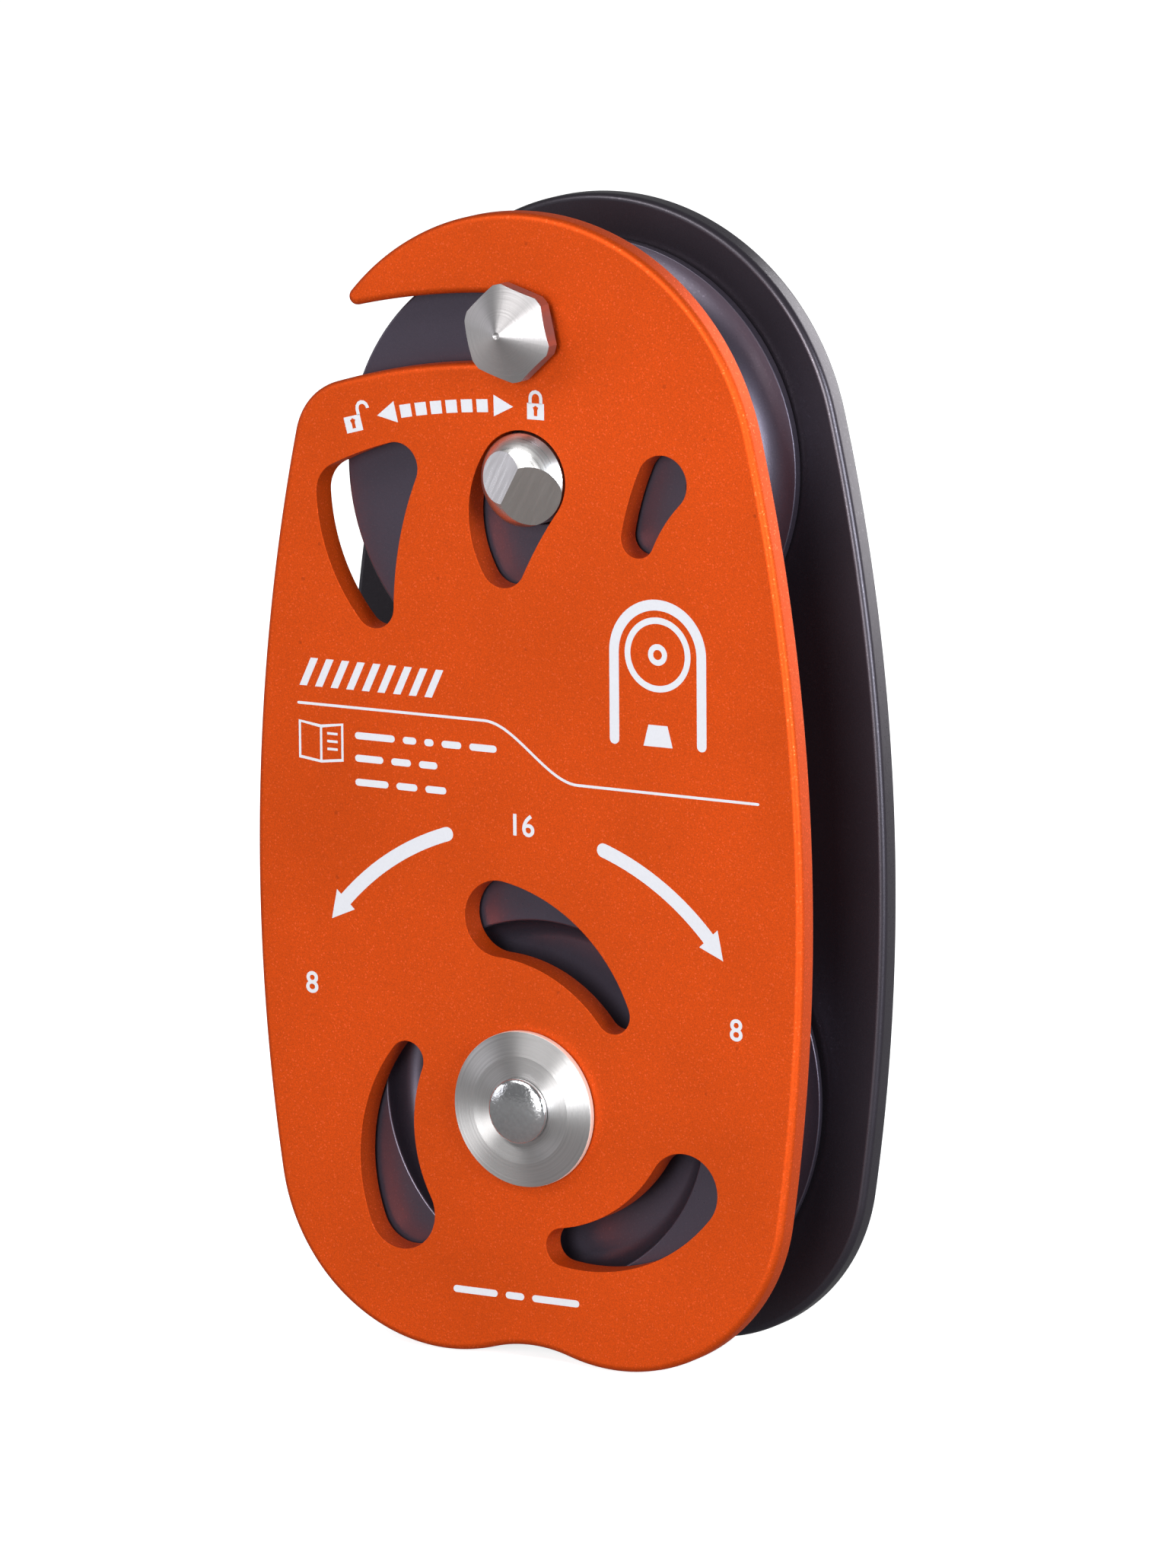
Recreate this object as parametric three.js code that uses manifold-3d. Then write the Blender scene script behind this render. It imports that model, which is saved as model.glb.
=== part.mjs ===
// Rope pulley with a swinging side plate, for rigging in trees.
//
// Millimetres. X runs across the plates, Y from the swinging front plate (-Y) to the fixed
// rear plate (+Y), Z up. The origin is the centre of the upper spool, on which the sling sits,
// midway between the two plates. The rope sheave turns on the main axle below it.

import * as THREE from 'three';
import { mergeVertices } from 'three/addons/utils/BufferGeometryUtils.js';
import Module from 'manifold-3d';

const wasm = await Module();
wasm.setup();

// ---------------------------------------------------------------- driving dimensions

const CLEARANCE = 0.25;          // gap left wherever two pieces fit or rest together
const PAST = 1;                  // how far a cutter reaches past the face it starts from
const FLATNESS = 0.1;            // how far a chord may stray from its arc
const FLATNESS_SHARE = 0.3;      // and at most this share of the arc's radius

// straight sides that stand for a full circle, on wheels, on rings, on pins and on balls
const WHEEL_SIDES = 40;
const RING_SIDES = 28;
const PIN_SIDES = 16;
const BALL_SIDES = 10;

// straight steps along the arcs of turned profiles and along each turn of the spring
const GROOVE_STEPS = 6;
const DOME_STEPS = 4;
const FILLET_STEPS = 3;
const COIL_STEPS = 12;
const WIRE_STEPS = 2;

// side plates
const PLATE_THICKNESS = 4;
const PLATE_GAP = 19.5;          // clear space between the two plates
const AXLE_DROP = 88.2;          // sheave axle below the spool centre
const ARCH_RADIUS = 36.9;        // round top of the plates, about the spool centre
const HALF_WIDTH = 43.8;         // half the width where the plates are widest
const WAIST_RISE = 30;           // height of the widest line above the axle
const LOBE_RADIUS = 27;          // round lower corners
const LOBE_DROP = 9.1;           // their centres below the axle
const NOTCH_RADIUS = 21;         // shallow hollow in the bottom edge
const EDGE_ROUND = 1;            // rounding of the plates' edges

// slot by which the front plate hooks behind the head of the lock stud
const STUD_RADIUS = 4.3;
const STUD_RISE = 20.8;          // stud centre above the spool centre
const STUD_NECK_STEP = 0.8;      // the stud's neck in the spool is thinner by this
const STUD_END_CHAMFER = 0.6;
const SLOT_CLEARANCE = 0.5;      // between the stud and the slot, all round
const HOOK_TIP_RADIUS = 1.2;
const LIP_RADIUS = 9.5;          // lead-in at the slot's mouth

// lock button
const BUTTON_RADIUS = 6.5;
const BUTTON_CLEARANCE = 0.4;    // between the button and its hole in the front plate
const BUTTON_PROUD = 3.5;        // dome above the front plate
const BUTTON_COLLAR_RADIUS = 8.2;
const BUTTON_COLLAR_THICKNESS = 2;
const RIDGE_PROUD = 2.9;         // ridge between the button's two flats, above the front plate
const RAMPS = [                  // the flats: which way they face, in degrees from +X, and fall
  { facing: -30, fall: 20 },
  { facing: 150, fall: 13.5 },
];

// upper spool
const SPOOL_RADIUS = 31;
const SPOOL_TREAD_RADIUS = 25;   // bottom of the groove that carries the sling
const SPOOL_LAND = 1.6;          // flat rim at each side of the groove
const SPOOL_PLATE_GAP = 0.7;     // between the spool and the front plate
const TOOLING_HOLE_RADIUS = 1.9;
const TOOLING_HOLE_REACH = 25.4; // distance from the spool centre
const TOOLING_HOLE_DEPTH = 3;
const RIM_ROUND = 0.4;           // edge break on the rims of the spool and the sheave

// screws and dowel that hold the spool to the rear plate
const SCREW_RADIUS = 2.5;
const SCREW_HEAD_RADIUS = 4.8;
const SCREW_HEAD_DEPTH = 2.5;
const SCREW_LENGTH = 14;
const SCREW_REACH = 17;          // distance from the spool centre
const SCREW_ANGLES = [218, 322];   // degrees from +X
const SCREW_SOCKET_FLATS = 3;
const SCREW_SOCKET_DEPTH = 1.8;
const DOWEL_RADIUS = 2;
const DOWEL_LENGTH = 11;
const DOWEL_REACH = 17;
const DOWEL_ANGLE = 150;

// stud head and nut
const HEAD_FLATS = 12.5;         // across flats
const HEAD_CORNERS = 13.7;       // across the turned corners
const HEAD_TURN = 43;            // degrees from +X to a corner
const HEAD_LIFT = 1.6;           // underside above the front plate
const HEAD_WALL = 2.4;           // height of a flat at its middle
const HEAD_PEAK = 5.2;           // tip of the shallow cone above the underside
const NUT_RADIUS = 6.6;
const NUT_THICKNESS = 2.4;
const NUT_CHAMFER = 0.8;

// rope sheave
const SHEAVE_RADIUS = 34.5;
const SHEAVE_TREAD_RADIUS = 27;  // bottom of the rope groove
const SHEAVE_PLATE_GAP = 0.8;    // between the sheave and each plate
const SHEAVE_LAND = 1.1;         // rim at each side of the groove
const RECESS_RADIUS = 25.5;
const RECESS_DEPTH_FRONT = 4.5;
const RECESS_DEPTH_REAR = 3.4;
const RECESS_FILLET = 3;

// ball bearing, 12 x 24 x 6
const BEARING_BORE = 12;
const BEARING_SECTION = 6;       // from the bore to the outside
const BEARING_WIDTH = 6;
const BALL_RADIUS = 1.6;
const BALL_COUNT = 11;
const RACE_WALL = 1.9;           // thickness of each race beside its groove
const SHIELD_THICKNESS = 0.5;
const CAGE_WALL = 0.9;
const SHOULDER_OVERLAP = 1.3;    // how far the sheave's shoulder covers the bearing
const CIRCLIP_THICKNESS = 1;
const CIRCLIP_BITE = 0.8;        // depth of its groove in the sheave
const CIRCLIP_WIDTH = 1.7;
const CIRCLIP_OPENING = 14;      // degrees from the middle of its gap to each eye
const CIRCLIP_EYE_RADIUS = 1.3;

// main axle and what turns on it
const AXLE_TENON_RADIUS = 4.2;
const AXLE_DOME_RADIUS = 4.6;
const AXLE_DOME_HEIGHT = 1.5;
const AXLE_DOME_RIM = 0.4;       // straight part at the foot of the dome
const WASHER_RADIUS = 11;
const WASHER_THICKNESS = 1.7;
const WASHER_FLAT_RADIUS = 7.6;
const WASHER_DROP = 0.7;         // fall of the washer's cone towards its rim
const BUSH_WALL = 1.3;
const BUSH_FLANGE_RADIUS = 9.4;
const BUSH_FLANGE_THICKNESS = 0.9;
const SPACER_WALL = 1.8;

// spring under the button
const SPRING_WIRE_RADIUS = 0.45;
const SPRING_TURNS = 5;
const SPRING_POCKET_DEPTH = 5.5;
const SPRING_POCKET_RADIUS = 4.6;

// windows cut in the plates: circles [x, z, radius] joined by arcs, in counter-clockwise order
const CLAW_LEFT = {
  corners: [[-20.3, 0.3, 3.5], [-28.8, -4.1, 4.5], [-24, -19.5, 3.1]],
  sides: [60, 28, -50],
};
const CLAW_MIDDLE = {
  corners: [[0, 0, BUTTON_RADIUS + BUTTON_CLEARANCE], [-3.2, -11.7, 3.6]],
  sides: [16, -60],
};
const CLAW_RIGHT = {
  corners: [[22.2, 1.1, 3.9], [18.3, -6.9, 2.6]],
  sides: [40, -21],
};
const COMMA = {                  // about the axle, repeated three times
  corners: [[-4.4, 26.3, 5.4], [13.9, 14.5, 2.7]],
  sides: [-22, 26],
};
const COMMA_COUNT = 3;

// ---------------------------------------------------------------- derived places

const FRONT_INNER = -PLATE_GAP / 2;
const FRONT_OUTER = FRONT_INNER - PLATE_THICKNESS;
const REAR_INNER = PLATE_GAP / 2;
const REAR_OUTER = REAR_INNER + PLATE_THICKNESS;
const AXLE = { x: 0, z: -AXLE_DROP };
const AXLE_RADIUS = BEARING_BORE / 2 - CLEARANCE;
const SLEEVE_BORE = AXLE_RADIUS + CLEARANCE;
const SPOOL_FRONT = FRONT_INNER + SPOOL_PLATE_GAP;
const SPOOL_REAR = REAR_INNER - CLEARANCE;
const STUD_NECK_RADIUS = STUD_RADIUS - STUD_NECK_STEP;
const BUTTON_TRAVEL = PLATE_THICKNESS + BUTTON_PROUD + 2 * CLEARANCE;
const BUTTON_TAIL = REAR_INNER - CLEARANCE - BUTTON_TRAVEL;
const BUTTON_COLLAR_FRONT = BUTTON_TAIL - BUTTON_COLLAR_THICKNESS;
const BEARING_OUTSIDE = BEARING_BORE + 2 * BEARING_SECTION;
const PITCH_RADIUS = (BEARING_BORE + BEARING_OUTSIDE) / 4;
const RACE_HALF = BEARING_WIDTH / 2;

// ---------------------------------------------------------------- finishes

const finish = (color, metalness, roughness) =>
  new THREE.MeshStandardMaterial({ color, metalness, roughness });
const ORANGE_ANODISED = finish(0xd24a12, 0.6, 0.45);
const GREY_ANODISED = finish(0x46404c, 0.6, 0.4);
const BLACK_ANODISED = finish(0x26242c, 0.6, 0.4);
const STAINLESS = finish(0xb9b6b4, 1, 0.3);
const BEARING_STEEL = finish(0xc4c6ca, 1, 0.2);
const BRONZE = finish(0xa9773f, 1, 0.4);
const CAGE_PLASTIC = finish(0x2f2c28, 0, 0.6);

// ---------------------------------------------------------------- outlines made of arcs

// A circle { x, z, r } is travelled counter-clockwise when r is positive and clockwise when
// it is negative, so a chain of touching circles describes an outline of smooth arcs.

const circle = (x, z, r) => ({ x, z, r });

function tangentCircle(a, b, r, side) {
  const gap = Math.hypot(b.x - a.x, b.z - a.z);
  const fromA = Math.abs(r - a.r);
  const fromB = Math.abs(r - b.r);
  const along = (fromA ** 2 - fromB ** 2 + gap ** 2) / (2 * gap);
  const across = side * Math.sqrt(fromA ** 2 - along ** 2);
  const ux = (b.x - a.x) / gap;
  const uz = (b.z - a.z) / gap;
  return circle(a.x + along * ux - across * uz, a.z + along * uz + across * ux, r);
}

function touchPoint(a, b) {
  const share = a.r / (b.r - a.r);
  return [a.x - share * (b.x - a.x), a.z - share * (b.z - a.z)];
}

const arcStep = (radius) => 2 * Math.acos(1 - Math.min(FLATNESS / Math.abs(radius), FLATNESS_SHARE));

function outline(circles) {
  const points = [];
  circles.forEach((c, i) => {
    const before = touchPoint(circles.at(i - 1), c);
    const after = touchPoint(c, circles[(i + 1) % circles.length]);
    const start = Math.atan2(before[1] - c.z, before[0] - c.x);
    const end = Math.atan2(after[1] - c.z, after[0] - c.x);
    const turn = 2 * Math.PI;
    const sweep = c.r > 0 ? (end - start + turn) % turn : -((start - end + turn) % turn);
    const steps = Math.ceil(Math.abs(sweep) / arcStep(c.r));
    for (let s = 0; s < steps; s += 1) {
      const angle = start + sweep * s / steps;
      points.push([c.x + Math.abs(c.r) * Math.cos(angle), c.z + Math.abs(c.r) * Math.sin(angle)]);
    }
  });
  return points;
}

function window({ corners, sides }) {
  const circles = corners.map(([x, z, r]) => circle(x, z, r));
  return outline(circles.flatMap((corner, i) => {
    const next = circles[(i + 1) % circles.length];
    return [corner, tangentCircle(corner, next, sides[i], Math.sign(sides[i]))];
  }));
}

function turnedAbout(points, centre, angle) {
  return points.map(([x, z]) => [
    centre.x + x * Math.cos(angle) - z * Math.sin(angle),
    centre.z + x * Math.sin(angle) + z * Math.cos(angle),
  ]);
}

function arcProfile(centreR, centreY, radius, from, to, steps) {
  return Array.from({ length: steps + 1 }, (_, i) => {
    const angle = THREE.MathUtils.degToRad(from + (to - from) * i / steps);
    return [centreR + radius * Math.cos(angle), centreY + radius * Math.sin(angle)];
  });
}

// ---------------------------------------------------------------- solids

function solid(geometry) {
  geometry.deleteAttribute('normal');
  geometry.deleteAttribute('uv');
  const merged = mergeVertices(geometry, 1e-5);
  const corners = merged.index.array;
  const triVerts = [];
  for (let i = 0; i < corners.length; i += 3) {
    const [a, b, c] = corners.slice(i, i + 3);
    if (a !== b && b !== c && c !== a) {
      triVerts.push(a, b, c);
    }
  }
  return new wasm.Manifold(new wasm.Mesh({
    numProp: 3,
    vertProperties: new Float32Array(merged.attributes.position.array),
    triVerts: new Uint32Array(triVerts),
  }));
}

function geometryOf(body) {
  const { vertProperties, triVerts } = body.getMesh();
  const geometry = new THREE.BufferGeometry();
  geometry.setAttribute('position', new THREE.BufferAttribute(vertProperties, 3));
  geometry.setIndex(new THREE.BufferAttribute(triVerts, 1));
  geometry.computeVertexNormals();
  return geometry;
}

// A prism between two Y planes, from an outline in X and Z, with its edges rounded if asked.
function prism(points, yFront, yRear, round = 0) {
  const shape = new THREE.Shape(points.map(([x, z]) => new THREE.Vector2(x, z)));
  const geometry = new THREE.ExtrudeGeometry(shape, {
    depth: yRear - yFront - 2 * round,
    bevelEnabled: round > 0,
    bevelThickness: round,
    bevelSize: round,
    bevelOffset: -round,
    bevelSegments: 1,
  });
  geometry.rotateX(Math.PI / 2);
  geometry.translate(0, yRear - round, 0);
  return solid(geometry);
}

// A solid of revolution about a line parallel to Y. The profile is [radius, y], given
// counter-clockwise with the radius to the right.
function turned(profile, segments, centre = { x: 0, z: 0 }) {
  const points = [...profile, profile[0]].map(([r, y]) => new THREE.Vector2(r, y));
  const geometry = new THREE.LatheGeometry(points, segments);
  geometry.translate(centre.x, 0, centre.z);
  return solid(geometry);
}

function tube(inner, outer, yFront, yRear, segments, centre) {
  return turned([[outer, yFront], [outer, yRear], [inner, yRear], [inner, yFront]], segments, centre);
}

function rod(radius, yFront, yRear, segments, centre) {
  return turned([[0, yFront], [radius, yFront], [radius, yRear], [0, yRear]], segments, centre);
}

const cut = (body, ...tools) => tools.reduce((rest, tool) => rest.subtract(tool), body);

const polar = (reach, degrees, centre = { x: 0, z: 0 }) => ({
  x: centre.x + reach * Math.cos(THREE.MathUtils.degToRad(degrees)),
  z: centre.z + reach * Math.sin(THREE.MathUtils.degToRad(degrees)),
});

function piece(name, body, material) {
  const mesh = new THREE.Mesh(geometryOf(body), material);
  mesh.name = name;
  return mesh;
}

// ---------------------------------------------------------------- side plates

const ARCH = circle(0, 0, ARCH_RADIUS);
const WAIST = AXLE.z + WAIST_RISE;
const FLANK_RADIUS = (HALF_WIDTH ** 2 + WAIST ** 2 - ARCH_RADIUS ** 2)
  / (2 * (HALF_WIDTH - ARCH_RADIUS));
const FLANK_RIGHT = circle(HALF_WIDTH - FLANK_RADIUS, WAIST, FLANK_RADIUS);
const FLANK_LEFT = circle(FLANK_RADIUS - HALF_WIDTH, WAIST, FLANK_RADIUS);

const LOBE_Z = AXLE.z - LOBE_DROP;
const LOBE_X = FLANK_RIGHT.x + Math.sqrt((FLANK_RADIUS - LOBE_RADIUS) ** 2 - (WAIST - LOBE_Z) ** 2);
const LOBE_RIGHT = circle(LOBE_X, LOBE_Z, LOBE_RADIUS);
const LOBE_LEFT = circle(-LOBE_X, LOBE_Z, LOBE_RADIUS);
const NOTCH = tangentCircle(LOBE_LEFT, LOBE_RIGHT, -NOTCH_RADIUS, -1);

const SLOT_HALF = STUD_RADIUS + SLOT_CLEARANCE;
const SLOT_REACH = AXLE_DROP + STUD_RISE;
const STUD = { x: 0, z: STUD_RISE };

function hookedOutline() {
  const slotEnd = circle(STUD.x, STUD.z, -SLOT_HALF);
  const slotOuter = circle(AXLE.x, AXLE.z, -(SLOT_REACH + SLOT_HALF));
  const slotInner = circle(AXLE.x, AXLE.z, SLOT_REACH - SLOT_HALF);
  const tip = tangentCircle(ARCH, slotOuter, HOOK_TIP_RADIUS, -1);
  const lip = tangentCircle(slotInner, FLANK_LEFT, LIP_RADIUS, 1);
  return outline([
    LOBE_RIGHT, FLANK_RIGHT, ARCH, tip, slotOuter, slotEnd, slotInner, lip, FLANK_LEFT,
    LOBE_LEFT, NOTCH,
  ]);
}

const plainOutline = () => outline([LOBE_RIGHT, FLANK_RIGHT, ARCH, FLANK_LEFT, LOBE_LEFT, NOTCH]);

function commaWindows() {
  const comma = window(COMMA);
  return Array.from({ length: COMMA_COUNT }, (_, i) =>
    turnedAbout(comma, AXLE, -i * 2 * Math.PI / COMMA_COUNT));
}

function frontPlate() {
  const windows = [CLAW_LEFT, CLAW_MIDDLE, CLAW_RIGHT].map(window).concat(commaWindows());
  return cut(
    prism(hookedOutline(), FRONT_OUTER, FRONT_INNER, EDGE_ROUND),
    ...windows.map((points) => prism(points, FRONT_OUTER - PAST, FRONT_INNER + PAST)),
    rod(SLEEVE_BORE + BUSH_WALL + CLEARANCE, FRONT_OUTER - PAST, FRONT_INNER + PAST, RING_SIDES, AXLE),
  );
}

function rearPlate() {
  return cut(
    prism(plainOutline(), REAR_INNER, REAR_OUTER, EDGE_ROUND),
    ...commaWindows().map((points) => prism(points, REAR_INNER - PAST, REAR_OUTER + PAST)),
    rod(SLEEVE_BORE, REAR_INNER - PAST, REAR_OUTER + PAST, RING_SIDES, AXLE),
    rod(STUD_NECK_RADIUS + CLEARANCE, REAR_INNER - PAST, REAR_OUTER + PAST, PIN_SIDES, STUD),
    rod(DOWEL_RADIUS + CLEARANCE, REAR_INNER - PAST, REAR_OUTER + PAST, PIN_SIDES, DOWEL),
    ...SCREWS.map((centre) => screwBody(centre, CLEARANCE)),
  );
}

// ---------------------------------------------------------------- upper spool and its fixings

const SCREWS = SCREW_ANGLES.map((degrees) => polar(SCREW_REACH, degrees));
const DOWEL = polar(DOWEL_REACH, DOWEL_ANGLE);

// A countersunk screw with its head flush in the rear plate, grown all round by a clearance
// when it is used to cut its own hole.
function screwBody(centre, grown = 0) {
  const end = REAR_OUTER - SCREW_LENGTH - grown;
  const top = REAR_OUTER - CLEARANCE + 2 * grown;
  const neck = REAR_OUTER - CLEARANCE - SCREW_HEAD_DEPTH;
  return turned([
    [0, end], [SCREW_RADIUS + grown, end], [SCREW_RADIUS + grown, neck],
    [SCREW_HEAD_RADIUS + grown, REAR_OUTER - CLEARANCE], [SCREW_HEAD_RADIUS + grown, top], [0, top],
  ], PIN_SIDES, centre);
}

function spool() {
  const middle = (SPOOL_FRONT + SPOOL_REAR) / 2;
  const halfMouth = (SPOOL_REAR - SPOOL_FRONT) / 2 - SPOOL_LAND;
  const profile = flangedProfile(SPOOL_RADIUS, SPOOL_TREAD_RADIUS, SPOOL_FRONT, SPOOL_REAR,
    middle, halfMouth);
  const step = BUTTON_COLLAR_FRONT - CLEARANCE;
  const collarBore = BUTTON_COLLAR_RADIUS + CLEARANCE;
  const buttonBore = BUTTON_RADIUS + CLEARANCE;
  profile.push(
    [collarBore, SPOOL_REAR], [collarBore, step], [buttonBore, step], [buttonBore, SPOOL_FRONT],
  );
  const toolingHole = polar(TOOLING_HOLE_REACH, 0);
  return cut(
    turned(profile, WHEEL_SIDES),
    rod(STUD_NECK_RADIUS + CLEARANCE, SPOOL_FRONT - PAST, SPOOL_REAR + PAST, PIN_SIDES, STUD),
    rod(TOOLING_HOLE_RADIUS, SPOOL_FRONT - PAST, SPOOL_FRONT + TOOLING_HOLE_DEPTH, PIN_SIDES,
      toolingHole),
    rod(DOWEL_RADIUS + CLEARANCE, REAR_OUTER - DOWEL_LENGTH - PAST, SPOOL_REAR + PAST, PIN_SIDES,
      DOWEL),
    ...SCREWS.map((centre) => screwBody(centre, CLEARANCE)),
  );
}

// The outside of a grooved wheel, from its front face round the groove to its rear face.
function flangedProfile(radius, tread, front, rear, middle, halfMouth) {
  const depth = radius - tread;
  const grooveRadius = (depth ** 2 + halfMouth ** 2) / (2 * depth);
  const opening = THREE.MathUtils.radToDeg(Math.asin(halfMouth / grooveRadius));
  const halfAngle = grooveRadius > depth ? opening : 180 - opening;
  const groove = arcProfile(tread + grooveRadius, middle, grooveRadius, 180 + halfAngle,
    180 - halfAngle, GROOVE_STEPS);
  return [
    [radius - RIM_ROUND, front], [radius, front + RIM_ROUND],
    ...groove,
    [radius, rear - RIM_ROUND], [radius - RIM_ROUND, rear],
  ];
}

function screw(centre) {
  const socket = hexagon(SCREW_SOCKET_FLATS, 0, centre);
  return cut(screwBody(centre), prism(socket, REAR_OUTER - SCREW_SOCKET_DEPTH, REAR_OUTER + PAST));
}

const dowel = () =>
  rod(DOWEL_RADIUS, REAR_OUTER - DOWEL_LENGTH, REAR_OUTER - CLEARANCE, PIN_SIDES, DOWEL);

function hexagon(acrossFlats, degrees, centre) {
  return Array.from({ length: 6 }, (_, i) => {
    const corner = polar(acrossFlats / Math.sqrt(3), degrees + 60 * i, centre);
    return [corner.x, corner.z];
  });
}

// The stud has a hexagonal head whose corners and shallow conical face are turned.
function lockStud() {
  const underside = FRONT_OUTER - HEAD_LIFT;
  const peak = underside - HEAD_PEAK;
  const slope = (HEAD_PEAK - HEAD_WALL) / (HEAD_FLATS / 2);
  const shoulder = peak + slope * HEAD_CORNERS / 2;
  const seat = SPOOL_FRONT - CLEARANCE;
  const end = REAR_OUTER + CLEARANCE + NUT_THICKNESS + STUD_END_CHAMFER;
  const flats = prism(hexagon(HEAD_FLATS, HEAD_TURN, STUD), peak - PAST, underside);
  const cone = turned([
    [0, peak], [HEAD_CORNERS / 2, shoulder], [HEAD_CORNERS / 2, underside + PAST],
    [0, underside + PAST],
  ], RING_SIDES, STUD);
  const shank = turned([
    [0, underside - PAST], [STUD_RADIUS, underside - PAST], [STUD_RADIUS, seat],
    [STUD_NECK_RADIUS, seat], [STUD_NECK_RADIUS, end - STUD_END_CHAMFER],
    [STUD_NECK_RADIUS - STUD_END_CHAMFER, end], [0, end],
  ], PIN_SIDES, STUD);
  return flats.intersect(cone).add(shank);
}

function studNut() {
  const front = REAR_OUTER + CLEARANCE;
  const rear = front + NUT_THICKNESS;
  const bore = STUD_NECK_RADIUS + CLEARANCE;
  return turned([
    [NUT_RADIUS, front], [NUT_RADIUS, rear - NUT_CHAMFER], [NUT_RADIUS - NUT_CHAMFER, rear],
    [bore, rear], [bore, front],
  ], PIN_SIDES, STUD);
}

// ---------------------------------------------------------------- lock button and its spring

// The dome has two flats that meet in a ridge. They let the plate push the button down.
function lockButton() {
  const rim = FRONT_OUTER;
  const domeRadius = (BUTTON_RADIUS ** 2 + BUTTON_PROUD ** 2) / (2 * BUTTON_PROUD);
  const halfAngle = THREE.MathUtils.radToDeg(Math.asin(BUTTON_RADIUS / domeRadius));
  const dome = arcProfile(0, rim - BUTTON_PROUD + domeRadius, domeRadius, -90, -90 + halfAngle,
    DOME_STEPS);
  dome[0][0] = 0;
  const pocketEnd = BUTTON_TAIL - SPRING_POCKET_DEPTH;
  const body = turned([
    ...dome,
    [BUTTON_RADIUS, BUTTON_COLLAR_FRONT], [BUTTON_COLLAR_RADIUS, BUTTON_COLLAR_FRONT],
    [BUTTON_COLLAR_RADIUS, BUTTON_TAIL], [SPRING_POCKET_RADIUS, BUTTON_TAIL],
    [SPRING_POCKET_RADIUS, pocketEnd], [0, pocketEnd],
  ], RING_SIDES);
  return cut(body, ...RAMPS.map(ramp));
}

// A block whose flat side passes through the ridge and falls away from it by the given angle.
function ramp({ facing, fall }) {
  const size = 4 * BUTTON_RADIUS;
  const block = new THREE.BoxGeometry(size, size, size);
  block.translate(0, -size / 2, 0);
  block.rotateZ(THREE.MathUtils.degToRad(fall));
  block.rotateY(THREE.MathUtils.degToRad(-facing));
  block.translate(0, FRONT_OUTER - RIDGE_PROUD, 0);
  return solid(block);
}

function buttonSpring() {
  const radius = SPRING_POCKET_RADIUS - CLEARANCE - SPRING_WIRE_RADIUS;
  const start = BUTTON_TAIL - SPRING_POCKET_DEPTH + CLEARANCE + SPRING_WIRE_RADIUS;
  const end = REAR_INNER - CLEARANCE - SPRING_WIRE_RADIUS;
  const path = new THREE.Curve();
  path.getPoint = (t, target = new THREE.Vector3()) => {
    const angle = 2 * Math.PI * SPRING_TURNS * t;
    return target.set(radius * Math.cos(angle), start + (end - start) * t, radius * Math.sin(angle));
  };
  const wire = new THREE.Shape().absarc(0, 0, SPRING_WIRE_RADIUS, 0, 2 * Math.PI);
  return solid(new THREE.ExtrudeGeometry(wire, {
    steps: SPRING_TURNS * COIL_STEPS, curveSegments: WIRE_STEPS, bevelEnabled: false,
    extrudePath: path,
  }));
}

// ---------------------------------------------------------------- rope sheave and its bearing

function sheave() {
  const half = PLATE_GAP / 2 - SHEAVE_PLATE_GAP;
  const profile = flangedProfile(SHEAVE_RADIUS, SHEAVE_TREAD_RADIUS, -half, half, 0,
    half - SHEAVE_LAND);
  const floorFront = RECESS_DEPTH_FRONT - half;
  const floorRear = half - RECESS_DEPTH_REAR;
  const corner = RECESS_RADIUS - RECESS_FILLET;
  const seat = BEARING_OUTSIDE / 2 + CLEARANCE;
  const groove = seat + CIRCLIP_BITE;
  const clip = RACE_HALF + CLEARANCE;
  profile.push(
    [RECESS_RADIUS, half],
    ...arcProfile(corner, floorRear + RECESS_FILLET, RECESS_FILLET, 0, -90, FILLET_STEPS),
    [seat, floorRear], [seat, clip + CIRCLIP_THICKNESS + CLEARANCE],
    [groove, clip + CIRCLIP_THICKNESS + CLEARANCE], [groove, clip - CLEARANCE],
    [seat, clip - CLEARANCE], [seat, -RACE_HALF - CLEARANCE],
    [seat - SHOULDER_OVERLAP, -RACE_HALF - CLEARANCE], [seat - SHOULDER_OVERLAP, floorFront],
    ...arcProfile(corner, floorFront - RECESS_FILLET, RECESS_FILLET, 90, 0, FILLET_STEPS),
    [RECESS_RADIUS, -half],
  );
  return turned(profile, WHEEL_SIDES, AXLE);
}

function raceGroove(side, from, to) {
  const groove = BALL_RADIUS + CLEARANCE;
  const wall = PITCH_RADIUS - (BEARING_BORE / 2 + RACE_WALL);
  const half = THREE.MathUtils.radToDeg(Math.acos(wall / groove));
  return arcProfile(PITCH_RADIUS, 0, groove, side + from * half, side + to * half, FILLET_STEPS);
}

function outerRace() {
  const outside = BEARING_OUTSIDE / 2;
  const inside = outside - RACE_WALL;
  return turned([
    [outside, -RACE_HALF], [outside, RACE_HALF], [inside, RACE_HALF],
    ...raceGroove(0, 1, -1), [inside, -RACE_HALF],
  ], RING_SIDES, AXLE);
}

function innerRace() {
  const bore = BEARING_BORE / 2;
  const outside = bore + RACE_WALL;
  return turned([
    [outside, -RACE_HALF], ...raceGroove(180, 1, -1), [outside, RACE_HALF],
    [bore, RACE_HALF], [bore, -RACE_HALF],
  ], RING_SIDES, AXLE);
}

function shield(side) {
  const inner = BEARING_BORE / 2 + RACE_WALL + CLEARANCE;
  const outer = BEARING_OUTSIDE / 2 - RACE_WALL - CLEARANCE;
  const faces = [side * RACE_HALF, side * (RACE_HALF - SHIELD_THICKNESS)].sort((a, b) => a - b);
  return tube(inner, outer, ...faces, RING_SIDES, AXLE);
}

const ballPlace = (i) => polar(PITCH_RADIUS, 90 + 360 * i / BALL_COUNT, AXLE);

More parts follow.
